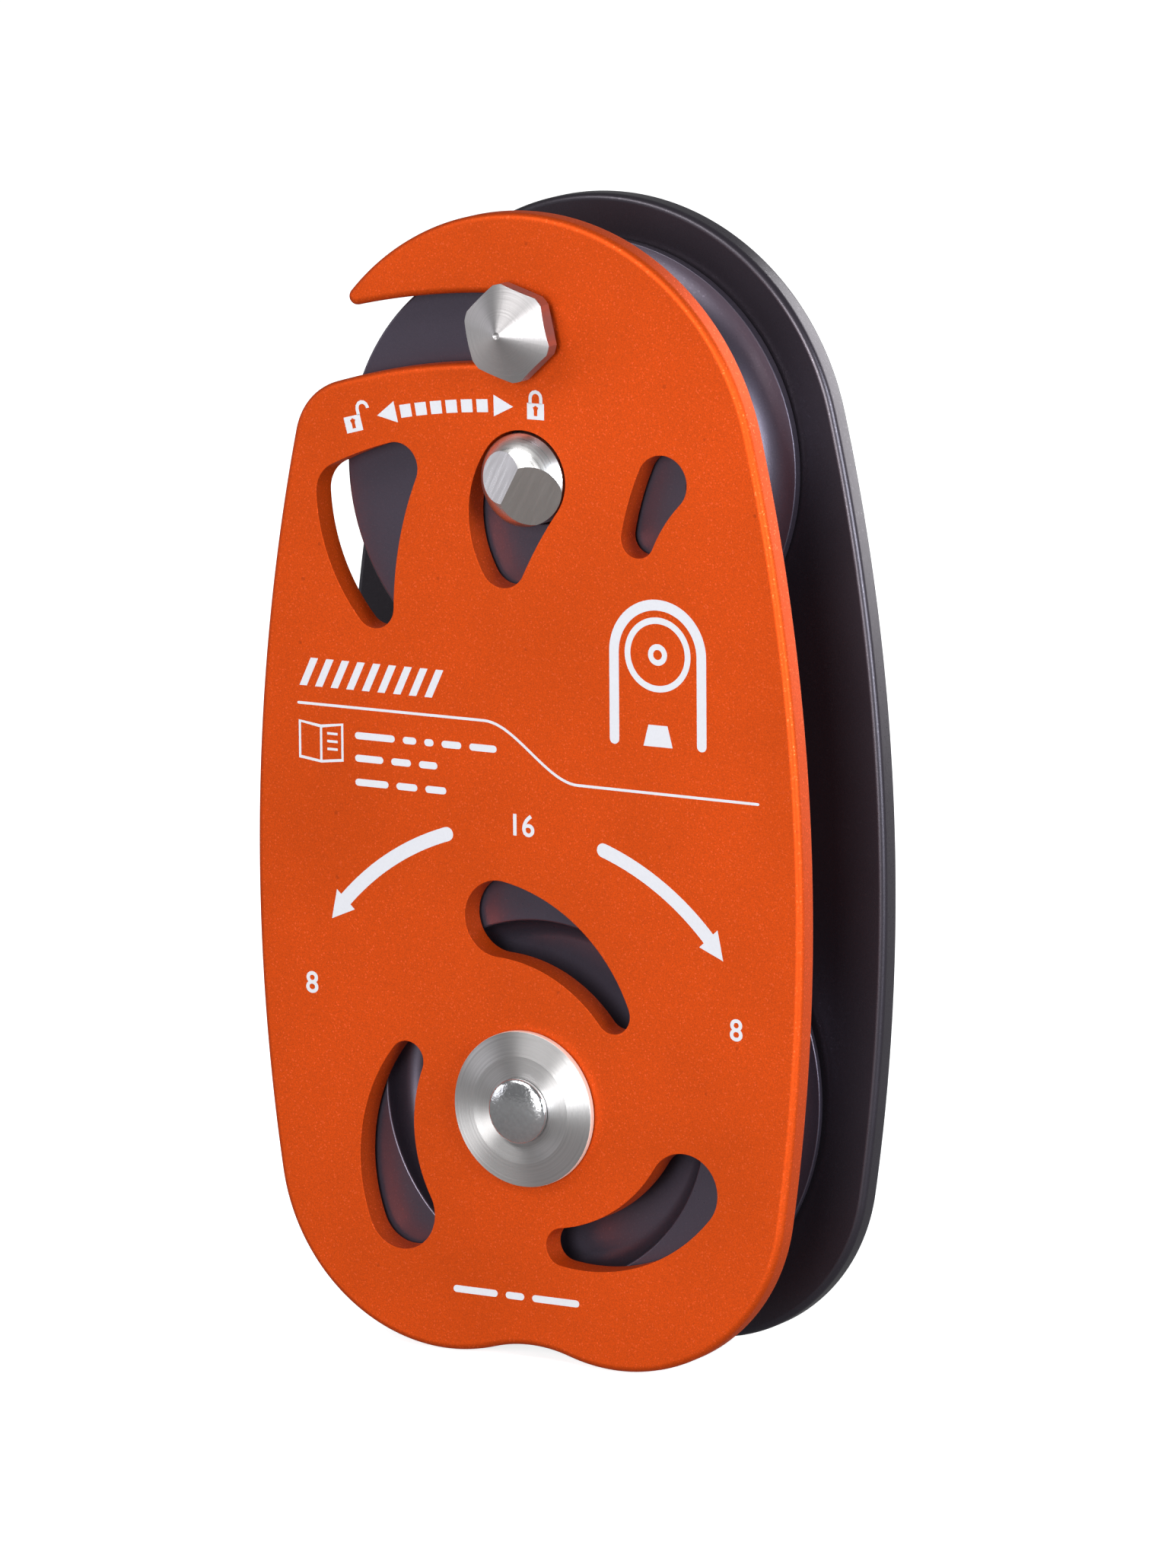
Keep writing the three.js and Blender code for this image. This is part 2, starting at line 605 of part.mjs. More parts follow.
function ball(i) {
  const { x, z } = ballPlace(i);
  const sphere = new THREE.SphereGeometry(BALL_RADIUS, BALL_SIDES, BALL_SIDES / 2 + 1);
  sphere.translate(x, 0, z);
  return solid(sphere);
}

function cage() {
  const half = RACE_HALF - SHIELD_THICKNESS - CLEARANCE;
  const ring = tube(PITCH_RADIUS - CAGE_WALL / 2, PITCH_RADIUS + CAGE_WALL / 2, -half, half,
    4 * BALL_COUNT, AXLE);
  const pockets = Array.from({ length: BALL_COUNT }, (_, i) => {
    const pocket = new THREE.CylinderGeometry(BALL_RADIUS + CLEARANCE, BALL_RADIUS + CLEARANCE,
      3 * CAGE_WALL, BALL_SIDES);
    const { x, z } = ballPlace(i);
    pocket.rotateZ(Math.atan2(z - AXLE.z, x - AXLE.x) - Math.PI / 2);
    // the cylinder stood along Y and now points outwards from the axle, in the XY plane
    pocket.rotateX(Math.PI / 2);
    pocket.translate(x, 0, z);
    return solid(pocket);
  });
  return cut(ring, ...pockets);
}

// An open retaining ring with an eye at each end for the pliers.
function circlip() {
  const front = RACE_HALF + CLEARANCE;
  const rear = front + CIRCLIP_THICKNESS;
  const outer = BEARING_OUTSIDE / 2 + CIRCLIP_BITE;
  const inner = outer - CIRCLIP_WIDTH;
  const eyes = [90 - CIRCLIP_OPENING, 90 + CIRCLIP_OPENING];
  const mouth = [AXLE, ...eyes.map((degrees) => polar(2 * outer, degrees, AXLE))];
  const ring = cut(
    tube(inner, outer, front, rear, RING_SIDES, AXLE),
    prism(mouth.map(({ x, z }) => [x, z]), front - PAST, rear + PAST),
  );
  return eyes.reduce((clip, degrees) => {
    const centre = polar(inner + CLEARANCE, degrees, AXLE);
    return clip
      .add(rod(CIRCLIP_EYE_RADIUS, front, rear, BALL_SIDES, centre))
      .subtract(rod(CIRCLIP_EYE_RADIUS / 2, front - PAST, rear + PAST, BALL_SIDES, centre));
  }, ring);
}

// ---------------------------------------------------------------- main axle

function mainAxle() {
  const shoulder = REAR_OUTER;
  const dome = shoulder + WASHER_THICKNESS + 2 * CLEARANCE;
  const cap = Array.from({ length: DOME_STEPS }, (_, i) => {
    const angle = Math.PI / 2 * i / DOME_STEPS;
    const rise = (AXLE_DOME_HEIGHT - AXLE_DOME_RIM) * Math.sin(angle);
    return [AXLE_DOME_RADIUS * Math.cos(angle), dome + AXLE_DOME_RIM + rise];
  });
  const half = [
    [AXLE_RADIUS, shoulder], [AXLE_TENON_RADIUS, shoulder], [AXLE_TENON_RADIUS, dome],
    [AXLE_DOME_RADIUS, dome], ...cap, [0, dome + AXLE_DOME_HEIGHT],
  ];
  const mirrored = half.map(([r, y]) => [r, -y]).reverse();
  return turned([...mirrored, ...half], RING_SIDES, AXLE);
}

function washer(side) {
  const near = REAR_OUTER + CLEARANCE;
  const far = near + WASHER_THICKNESS;
  const bore = AXLE_TENON_RADIUS + CLEARANCE;
  const profile = [
    [bore, near], [WASHER_RADIUS, near], [WASHER_RADIUS, far - WASHER_DROP],
    [WASHER_FLAT_RADIUS, far], [bore, far],
  ];
  const sided = side > 0 ? profile : profile.map(([r, y]) => [r, -y]).reverse();
  return turned(sided, RING_SIDES, AXLE);
}

function pivotBush() {
  const outer = SLEEVE_BORE + BUSH_WALL;
  const flange = FRONT_INNER + CLEARANCE;
  return turned([
    [outer, FRONT_OUTER], [outer, flange], [BUSH_FLANGE_RADIUS, flange],
    [BUSH_FLANGE_RADIUS, flange + BUSH_FLANGE_THICKNESS],
    [SLEEVE_BORE, flange + BUSH_FLANGE_THICKNESS], [SLEEVE_BORE, FRONT_OUTER],
  ], RING_SIDES, AXLE);
}

const spacer = (front, rear) =>
  tube(SLEEVE_BORE, SLEEVE_BORE + SPACER_WALL, front, rear, PIN_SIDES, AXLE);
const frontSpacer = () => spacer(
  FRONT_INNER + BUSH_FLANGE_THICKNESS + 2 * CLEARANCE, -RACE_HALF - CLEARANCE);
const rearSpacer = () => spacer(RACE_HALF + CLEARANCE, REAR_INNER - CLEARANCE);

// ---------------------------------------------------------------- the whole pulley

const pulley = new THREE.Group();
pulley.add(
  piece('rear_side_plate', rearPlate(), BLACK_ANODISED),
  piece('front_side_plate', frontPlate(), ORANGE_ANODISED),
  piece('plate_pivot_bush', pivotBush(), BRONZE),
  piece('upper_spool', spool(), GREY_ANODISED),
  piece('spool_screw_left', screw(SCREWS[0]), STAINLESS),
  piece('spool_screw_right', screw(SCREWS[1]), STAINLESS),
  piece('spool_dowel', dowel(), STAINLESS),
  piece('lock_stud', lockStud(), STAINLESS),
  piece('lock_stud_nut', studNut(), STAINLESS),
  piece('lock_button', lockButton(), STAINLESS),
  piece('button_spring', buttonSpring(), STAINLESS),
  piece('main_axle', mainAxle(), STAINLESS),
  piece('axle_washer_front', washer(-1), STAINLESS),
  piece('axle_washer_rear', washer(1), STAINLESS),
  piece('axle_spacer_front', frontSpacer(), STAINLESS),
  piece('axle_spacer_rear', rearSpacer(), STAINLESS),
  piece('rope_sheave', sheave(), GREY_ANODISED),
  piece('bearing_outer_race', outerRace(), BEARING_STEEL),
  piece('bearing_inner_race', innerRace(), BEARING_STEEL),
  piece('bearing_shield_front', shield(-1), BEARING_STEEL),
  piece('bearing_shield_rear', shield(1), BEARING_STEEL),
  piece('bearing_cage', cage(), CAGE_PLASTIC),
  piece('bearing_circlip', circlip(), STAINLESS),
);
for (let i = 0; i < BALL_COUNT; i += 1) {
  pulley.add(piece(`bearing_ball_${i + 1}`, ball(i), BEARING_STEEL));
}

export default pulley;
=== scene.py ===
"""Looks of a rope pulley with a swinging side plate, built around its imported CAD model.

Sizes are in millimetres and become metres as each mesh is made. X runs across the plates,
Y from the swinging front plate (-Y) to the fixed rear plate (+Y), and Z up. The origin is
the centre of the upper spool, midway between the two plates.
"""
import logging
import math
from collections.abc import Iterable, Sequence
from dataclasses import dataclass, field
from enum import Enum

import bpy
from mathutils import Matrix, Vector


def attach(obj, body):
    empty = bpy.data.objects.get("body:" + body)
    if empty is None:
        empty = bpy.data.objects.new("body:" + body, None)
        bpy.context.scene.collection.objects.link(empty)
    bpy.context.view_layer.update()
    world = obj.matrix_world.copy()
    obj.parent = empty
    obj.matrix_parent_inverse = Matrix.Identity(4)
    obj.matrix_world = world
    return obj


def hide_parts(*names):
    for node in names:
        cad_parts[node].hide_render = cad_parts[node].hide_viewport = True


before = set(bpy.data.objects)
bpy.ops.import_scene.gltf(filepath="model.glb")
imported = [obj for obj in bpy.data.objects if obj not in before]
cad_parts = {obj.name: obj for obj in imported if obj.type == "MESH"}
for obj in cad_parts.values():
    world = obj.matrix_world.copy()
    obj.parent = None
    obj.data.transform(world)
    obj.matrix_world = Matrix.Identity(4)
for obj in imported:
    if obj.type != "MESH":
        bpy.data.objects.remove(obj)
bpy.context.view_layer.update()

Point = tuple[float, float]
Loop = list[Point]
Colour = tuple[float, float, float]
Socket = bpy.types.NodeSocket

LOG = logging.getLogger("pulley")
MM = 0.001
TURN = 2 * math.pi

# ------------------------------------------------------------------ sizes that pieces share

CLEARANCE = 0.25
WASHER_THICKNESS = 1.7
PLATE_THICKNESS = 4.0
INNER = 9.75                      # inner face of each plate, from the middle
OUTER = INNER + PLATE_THICKNESS   # outer face of each plate
AXLE = (0.0, -88.2)
SPOOL = (0.0, 0.0)
STUD = (0.0, 20.8)
SLEEVE_BORE = 6.0
RACE_HALF = 3.0


class Side(Enum):
    """Which of the two plates a piece lies against."""

    FRONT = -1
    REAR = 1


class Body(Enum):
    """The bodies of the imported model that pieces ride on."""

    ROOT = "root"
    PLATE = "side_plate"
    SHEAVE = "sheave"
    BUTTON = "button"


# ------------------------------------------------------------------ outlines made of arcs


@dataclass(frozen=True)
class Arc:
    """A circle travelled counter-clockwise, or clockwise when its radius is negative."""

    x: float
    z: float
    r: float

    def touching(self, other: "Arc", r: float, side: int) -> "Arc":
        """Finds the circle of a given radius that touches this one and another.

        Args:
            other: The circle that comes next.
            r: Signed radius of the circle between them.
            side: 1 or -1, for the centre on the left or the right of the line to the other.

        Returns:
            The touching circle.
        """
        gap = math.hypot(other.x - self.x, other.z - self.z)
        near, far = abs(r - self.r), abs(r - other.r)
        along = (near**2 - far**2 + gap**2) / (2 * gap)
        across = side * math.sqrt(near**2 - along**2)
        ux, uz = (other.x - self.x) / gap, (other.z - self.z) / gap
        return Arc(self.x + along * ux - across * uz, self.z + along * uz + across * ux, r)

    def meets(self, other: "Arc") -> Point:
        """Returns the point where this circle touches the next."""
        share = self.r / (other.r - self.r)
        return self.x - share * (other.x - self.x), self.z - share * (other.z - self.z)


def outline(arcs: Sequence[Arc], flatness: float = 0.004, longest: float = 1.2) -> Loop:
    """Turns a chain of touching circles into a closed line of points.

    Args:
        arcs: The circles, in the order in which the outline meets them.
        flatness: How far a chord may stray from its arc.
        longest: The longest chord.

    Returns:
        The points, counter-clockwise.
    """
    points: Loop = []
    for i, arc in enumerate(arcs):
        x0, z0 = arcs[i - 1].meets(arc)
        x1, z1 = arc.meets(arcs[(i + 1) % len(arcs)])
        start = math.atan2(z0 - arc.z, x0 - arc.x)
        end = math.atan2(z1 - arc.z, x1 - arc.x)
        sweep = (end - start) % TURN if arc.r > 0 else -((start - end) % TURN)
        size = abs(arc.r)
        step = min(2 * math.acos(1 - flatness / size), longest / size)
        count = max(2, math.ceil(abs(sweep) / step))
        for s in range(count):
            angle = start + sweep * s / count
            points.append((arc.x + size * math.cos(angle), arc.z + size * math.sin(angle)))
    return points


def window(corners: Sequence[tuple[float, float, float]], sides: Sequence[float]) -> Loop:
    """Outlines a window whose round corners are joined by arcs.

    Args:
        corners: The corner circles, as x, z and radius, counter-clockwise.
        sides: Signed radius of the arc after each corner.

    Returns:
        The window's outline.
    """
    rounds = [Arc(*corner) for corner in corners]
    chain: list[Arc] = []
    for i, (corner, side) in enumerate(zip(rounds, sides)):
        follower = rounds[(i + 1) % len(rounds)]
        chain += [corner, corner.touching(follower, side, 1 if side > 0 else -1)]
    return outline(chain)


def moved(loop: Loop, centre: Point = (0.0, 0.0), degrees: float = 0.0) -> Loop:
    """Turns an outline about the origin and then carries it to a centre."""
    cos, sin = math.cos(math.radians(degrees)), math.sin(math.radians(degrees))
    return [(centre[0] + x * cos - z * sin, centre[1] + x * sin + z * cos) for x, z in loop]


def polar(reach: float, degrees: float, centre: Point = (0.0, 0.0)) -> Point:
    """Returns the point at a distance and an angle from a centre."""
    angle = math.radians(degrees)
    return centre[0] + reach * math.cos(angle), centre[1] + reach * math.sin(angle)


def ring(radius: float, centre: Point = (0.0, 0.0), sides: int = 64) -> Loop:
    """Returns a circle as a closed line of points."""
    return [polar(radius, 360 * i / sides, centre) for i in range(sides)]


def hexagon(flats: float, degrees: float, centre: Point) -> Loop:
    """Returns a hexagon of a size across flats, with one corner at the given angle."""
    return [polar(flats / math.sqrt(3), degrees + 60 * i, centre) for i in range(6)]


# ------------------------------------------------------------------ turned profiles


def eased(points: Sequence[tuple[float, ...]], steps: int = 4) -> Loop:
    """Rounds the corners of a turned profile.

    Args:
        points: Each corner as radius, y and, where the corner is rounded, the rounding.
        steps: Straight steps round each corner.

    Returns:
        The profile as plain points.
    """
    result: Loop = []
    for i, point in enumerate(points):
        here = Vector(point[:2])
        if len(point) < 3 or point[2] <= 0:
            result.append((here.x, here.y))
            continue
        back = (Vector(points[i - 1][:2]) - here).normalized()
        ahead = (Vector(points[(i + 1) % len(points)][:2]) - here).normalized()
        half = back.angle(ahead) / 2
        centre = here + (back + ahead).normalized() * point[2] / math.sin(half)
        first = (here + back * point[2] / math.tan(half) - centre).normalized()
        last = (here + ahead * point[2] / math.tan(half) - centre).normalized()
        for s in range(steps + 1):
            spoke = first.slerp(last, s / steps) * point[2]
            result.append((centre.x + spoke.x, centre.y + spoke.y))
    return result


def arc_profile(centre: Point, radius: float, start: float, end: float, steps: int) -> Loop:
    """Returns points along an arc of a turned profile, angles in degrees from outwards."""
    return [polar(radius, start + (end - start) * i / steps, centre) for i in range(steps + 1)]


def mirrored(profile: Sequence[tuple[float, ...]]) -> list[tuple[float, ...]]:
    """Returns a turned profile reflected in the middle plane."""
    return [(point[0], -point[1], *point[2:]) for point in reversed(profile)]


# ------------------------------------------------------------------ the modelling bench


def deselect() -> None:
    """Leaves edit mode and leaves nothing selected."""
    if bpy.context.mode != "OBJECT":
        bpy.ops.object.mode_set(mode="OBJECT")
    bpy.ops.object.select_all(action="DESELECT")


def take(piece: bpy.types.Object) -> None:
    """Makes one piece the only one selected, and active."""
    deselect()
    piece.select_set(True)
    bpy.context.view_layer.objects.active = piece


def edit_all(piece: bpy.types.Object) -> None:
    """Opens a piece in edit mode with all of it selected."""
    take(piece)
    bpy.ops.object.mode_set(mode="EDIT")
    bpy.ops.mesh.select_all(action="SELECT")


def sound(piece: bpy.types.Object) -> None:
    """Merges doubled points and turns every face outwards."""
    edit_all(piece)
    bpy.ops.mesh.remove_doubles(threshold=2e-6)
    bpy.ops.mesh.normals_make_consistent(inside=False)
    bpy.ops.object.mode_set(mode="OBJECT")


def wire(name: str, points: Sequence[tuple[float, float, float]], closed: bool) -> bpy.types.Object:
    """Lays out a line of points to be filled, extruded or spun.

    Args:
        name: The piece's name.
        points: The places of the points, in millimetres.
        closed: Whether the last point joins the first.

    Returns:
        The new object.
    """
    count = len(points)
    edges = [(i, i + 1) for i in range(count - 1)] + ([(count - 1, 0)] if closed else [])
    mesh = bpy.data.meshes.new(name)
    mesh.from_pydata([Vector(point) * MM for point in points], edges, [])
    piece = bpy.data.objects.new(name, mesh)
    bpy.context.scene.collection.objects.link(piece)
    return piece


def slab(name: str, loop: Loop, low: float, high: float) -> bpy.types.Object:
    """Makes a flat solid from an outline, between two Y planes.

    Args:
        name: The piece's name.
        loop: The outline in X and Z.
        low: Y of the front face.
        high: Y of the rear face.

    Returns:
        The solid.
    """
    piece = wire(name, [(x, low, z) for x, z in loop], closed=True)
    edit_all(piece)
    bpy.ops.mesh.edge_face_add()
    bpy.ops.mesh.extrude_region_move(TRANSFORM_OT_translate={"value": (0, (high - low) * MM, 0)})
    bpy.ops.object.mode_set(mode="OBJECT")
    sound(piece)
    return piece


def turned(name: str, profile: Loop, centre: Point, steps: int = 96) -> bpy.types.Object:
    """Turns a profile about a line parallel to Y.

    Args:
        name: The piece's name.
        profile: Radius and Y of each point. A profile that starts and ends on the axis is open.
        centre: X and Z of the axis.
        steps: Straight sides that stand for the full circle.

    Returns:
        The turned solid.
    """
    solid_core = profile[0][0] < 1e-6 and profile[-1][0] < 1e-6
    points = [(centre[0] + radius, y, centre[1]) for radius, y in profile]
    piece = wire(name, points, closed=not solid_core)
    edit_all(piece)
    bpy.ops.mesh.spin(
        steps=steps, angle=TURN, center=(centre[0] * MM, 0, centre[1] * MM), axis=(0, 1, 0)
    )
    bpy.ops.object.mode_set(mode="OBJECT")
    sound(piece)
    return piece


def apply(piece: bpy.types.Object, kind: str, **settings: object) -> None:
    """Adds a modifier with the given settings and applies it.

    Args:
        piece: The piece to change.
        kind: The modifier's type.
        **settings: Values of the modifier's properties.
    """
    take(piece)
    modifier = piece.modifiers.new(kind.title(), kind)
    for name, value in settings.items():
        setattr(modifier, name, value)
    bpy.ops.object.modifier_apply(modifier=modifier.name)


def combine(piece: bpy.types.Object, tool: bpy.types.Object, operation: str) -> None:
    """Cuts, joins or intersects a piece with a tool, which is used up."""
    apply(piece, "BOOLEAN", operation=operation, solver="EXACT", object=tool)
    bpy.data.objects.remove(tool, do_unlink=True)


def drill(piece: bpy.types.Object, centre: Point, radius: float, low: float, high: float,
          sides: int = 48) -> None:
    """Drills a round hole along Y between two planes.

    Args:
        piece: The piece to drill.
        centre: The hole's centre in X and Z.
        radius: The hole's radius.
        low: Y of the hole's front end.
        high: Y of its rear end.
        sides: How many sides the round has.
    """
    deselect()
    bpy.ops.mesh.primitive_cylinder_add(
        vertices=sides, radius=radius * MM, depth=(high - low) * MM,
        location=(centre[0] * MM, (low + high) / 2 * MM, centre[1] * MM),
        rotation=(math.pi / 2, 0, 0),
    )
    combine(piece, bpy.context.active_object, "DIFFERENCE")


def ease_edges(piece: bpy.types.Object, width: float, segments: int = 2,
               sharper_than: float = 50.0) -> None:
    """Rounds every edge that is sharper than an angle.

    Args:
        piece: The piece to round.
        width: The rounding's width.
        segments: How many steps it has.
        sharper_than: The least angle between two faces, in degrees.
    """
    apply(piece, "BEVEL", width=width * MM, segments=segments, limit_method="ANGLE",
          angle_limit=math.radians(sharper_than), use_clamp_overlap=True,
          loop_slide=False, miter_outer="MITER_SHARP")


def shade(piece: bpy.types.Object, angle: float = 35.0) -> None:
    """Shades a piece smooth up to an angle, with its flat faces kept flat."""
    take(piece)
    bpy.ops.object.shade_smooth_by_angle(angle=math.radians(angle))
    apply(piece, "WEIGHTED_NORMAL", mode="FACE_AREA", weight=50, keep_sharp=True)


def dress(piece: bpy.types.Object, *materials: bpy.types.Material) -> None:
    """Gives a piece its materials, in the order of its slots."""
    piece.data.materials.clear()
    for material in materials:
        piece.data.materials.append(material)


def dress_sides(piece: bpy.types.Object, face: bpy.types.Material,
                side: bpy.types.Material) -> None:
    """Gives the faces that look along Y one material and the side walls another.

    Args:
        piece: The piece to dress.
        face: The material of the faces.
        side: The material of the side walls.
    """
    dress(piece, face, side)
    for polygon in piece.data.polygons:
        polygon.material_index = 0 if abs(polygon.normal.y) > 0.6 else 1


def lathe_map(piece: bpy.types.Object, centre: Point) -> None:
    """Lays a UV map on a turned piece: U outwards from the axis and V around it.

    Args:
        piece: The turned piece.
        centre: Its axis in X and Z.
    """
    layer = piece.data.uv_layers.new(name="Turning")
    for polygon in piece.data.polygons:
        middle = math.atan2(polygon.center.z - centre[1] * MM, polygon.center.x - centre[0] * MM)
        for index in polygon.loop_indices:
            place = piece.data.vertices[piece.data.loops[index].vertex_index].co
            dx, dz = place.x - centre[0] * MM, place.z - centre[1] * MM
            radius = math.hypot(dx, dz)
            angle = math.atan2(dz, dx) if radius > 1e-7 else middle
            angle += TURN * round((middle - angle) / TURN)
            layer.data[index].uv = (radius / MM / 20, angle / TURN)


def settle(piece: bpy.types.Object, body: Body, slot: str, *nodes: str) -> bpy.types.Object:
    """Rides a finished piece on its body and hides the CAD nodes that it stands for.

    Args:
        piece: The finished piece.
        body: The body that it moves with.
        slot: The record's material slot; not used.
        nodes: The CAD nodes that it replaces.

    Returns:
        The same piece.
    """
    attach(piece, body.value)
    if nodes:
        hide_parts(*nodes)
    LOG.info("made %s", piece.name)
    return piece


# ------------------------------------------------------------------ shader node groups


class Sheet:
    """A node tree with short ways to add nodes and join them."""

    def __init__(self, tree: bpy.types.NodeTree) -> None:
        """Works on the given tree."""
        self.tree = tree

    def node(self, kind: str, inputs: dict[str | int, object] | None = None,
             **settings: object) -> bpy.types.Node:
        """Adds a node.

        Args:
            kind: The node's type, without the ShaderNode prefix.
            inputs: Values or sockets for its inputs.
            settings: Properties of the node.

        Returns:
            The node.
        """
        node = self.tree.nodes.new("ShaderNode" + kind)
        for name, value in settings.items():
            setattr(node, name, value)
        for name, value in (inputs or {}).items():
            self.feed(node.inputs[name], value)
        return node

    def feed(self, socket: Socket, value: object) -> None:
        """Joins a socket to another, or sets its value.

        Args:
            socket: The socket to feed.
            value: A socket to link, or a plain value.
        """
        if isinstance(value, bpy.types.NodeSocket):
            self.tree.links.new(value, socket)
        else:
            socket.default_value = value

    def sum(self, operation: str, *values: object) -> Socket:
        """Adds a math node and returns its result."""
        node = self.node("Math", dict(enumerate(values)), operation=operation)
        return node.outputs[0]

    def mix(self, share: object, low: object, high: object) -> Socket:
        """Mixes two colours and returns the result.

        Args:
            share: How much of the second colour.
            low: The first colour.
            high: The second colour.

        Returns:
            The mixed colour.
        """
        node = self.node("Mix", data_type="RGBA")
        self.feed(node.inputs[0], share)
        self.feed(node.inputs[6], low)
        self.feed(node.inputs[7], high)
        return node.outputs[2]

    def span(self, value: object, low: float, high: float, to_low: float, to_high: float) -> Socket:
        """Maps a value from one range to another, clamped."""
        inputs = {0: value, 1: low, 2: high, 3: to_low, 4: to_high}
        return self.node("MapRange", inputs).outputs[0]

    def noise(self, place: object, scale: object, detail: float = 2.0,
              rough: float = 0.5) -> Socket:
        """Adds a noise texture and returns its value."""
        inputs = {"Vector": place, "Scale": scale, "Detail": detail, "Roughness": rough}
        return self.node("TexNoise", inputs).outputs[0]


def new_group(name: str, inputs: dict[str, float | None], outputs: Iterable[str]) -> tuple[
        bpy.types.NodeTree, Sheet, bpy.types.Node, bpy.types.Node]:
    """Starts a shader node group.

    Args:
        name: The group's name.
        inputs: Each input's default value, or None for a place.
        outputs: Names of the outputs, all plain values.

    Returns:
        The group's tree, a sheet to draw it on, and its input and output nodes.
    """
    tree = bpy.data.node_groups.new(name, "ShaderNodeTree")
    for label, value in inputs.items():
        kind = "NodeSocketVector" if value is None else "NodeSocketFloat"
        socket = tree.interface.new_socket(label, in_out="INPUT", socket_type=kind)
        if value is not None:
            socket.default_value = value
    for label in outputs:
        tree.interface.new_socket(label, in_out="OUTPUT", socket_type="NodeSocketFloat")
    start = tree.nodes.new("NodeGroupInput")
    end = tree.nodes.new("NodeGroupOutput")
    return tree, Sheet(tree), start, end


def blasted_group() -> bpy.types.NodeTree:
    """Makes the fine texture of blasted and anodised metal.

    Returns:
        The group: Height of the grain, Sparkle of single grains that are painted as glints,
        Cloud of slow change and Specks of the few darker spots.
    """
    tree, sheet, start, end = new_group(
        "blasted grain", {"Place": None, "Scale": 2600.0}, ("Height", "Sparkle", "Cloud", "Specks"))
    place, scale = start.outputs["Place"], start.outputs["Scale"]
    grain = sheet.noise(place, scale, 2.0, 0.6)
    finer = sheet.noise(place, sheet.sum("MULTIPLY", scale, 2.3), 1.0)
    sheet.feed(end.inputs["Height"], sheet.sum("MULTIPLY_ADD", finer, 0.5, grain))
    cells = sheet.node("TexVoronoi", {"Vector": place, "Scale": sheet.sum("MULTIPLY", scale, 0.9)})
    bright = sheet.node("SeparateColor", {0: cells.outputs["Color"]}).outputs[0]
    sheet.feed(end.inputs["Sparkle"], sheet.span(bright, 0.9, 1.0, 0.0, 1.0))
    cloud = sheet.noise(place, 42.0, 3.0)
    sheet.feed(end.inputs["Cloud"], sheet.span(cloud, 0.3, 0.7, 0.0, 1.0))
    dots = sheet.node("TexVoronoi", {"Vector": place, "Scale": 140.0})
    sheet.feed(end.inputs["Specks"], sheet.span(dots.outputs["Distance"], 0.03, 0.05, 1.0, 0.0))
    return tree


def turning_group() -> bpy.types.NodeTree:
    """Makes the rings that a lathe tool leaves about the Y axis.

    Returns:
        The group: Height of the rings and Tone, the slower change from ring to ring.
    """
    tree, sheet, start, end = new_group(
        "turning rings", {"Place": None, "Pitch": 0.12}, ("Height", "Tone"))
    parts = sheet.node("SeparateXYZ", {0: start.outputs["Place"]})
    flat = sheet.node("CombineXYZ", {0: parts.outputs[0], 2: parts.outputs[2]})
    reach = sheet.node("VectorMath", {0: flat.outputs[0]}, operation="LENGTH").outputs["Value"]
    count = sheet.sum("DIVIDE", sheet.sum("MULTIPLY", reach, 1 / MM), start.outputs["Pitch"])
    fine = sheet.node("TexNoise", {"W": count, "Scale": 1.0, "Detail": 2.0},
                      noise_dimensions="1D").outputs[0]
    sheet.feed(end.inputs["Height"], fine)
    slow = sheet.node("TexNoise", {"W": count, "Scale": 0.23, "Detail": 3.0},
                      noise_dimensions="1D").outputs[0]
    sheet.feed(end.inputs["Tone"], sheet.span(slow, 0.3, 0.7, 0.0, 1.0))
    return tree


def milling_group() -> bpy.types.NodeTree:
    """Makes the straight fine lines of milled or ground metal.

    Returns:
        The group: Height and Tone of the lines, which run along X of the place it is given.
    """
    tree, sheet, start, end = new_group(
        "milling lines", {"Place": None, "Pitch": 0.1}, ("Height", "Tone"))
    stretched = sheet.node("VectorMath", {0: start.outputs["Place"], 1: (0.02, 1.0, 1.0)},
                           operation="MULTIPLY").outputs[0]
    scale = sheet.sum("DIVIDE", 1 / MM, start.outputs["Pitch"])
    fine = sheet.noise(stretched, scale, 2.0)
    sheet.feed(end.inputs["Height"], fine)
    slow = sheet.noise(stretched, sheet.sum("MULTIPLY", scale, 0.2), 2.0)
    sheet.feed(end.inputs["Tone"], sheet.span(slow, 0.3, 0.7, 0.0, 1.0))
    return tree


@dataclass
class Effects:
    """The node groups that materials share."""

    blasted: bpy.types.NodeTree = field(default_factory=blasted_group)
    turning: bpy.types.NodeTree = field(default_factory=turning_group)
    milling: bpy.types.NodeTree = field(default_factory=milling_group)


# ------------------------------------------------------------------ finishes


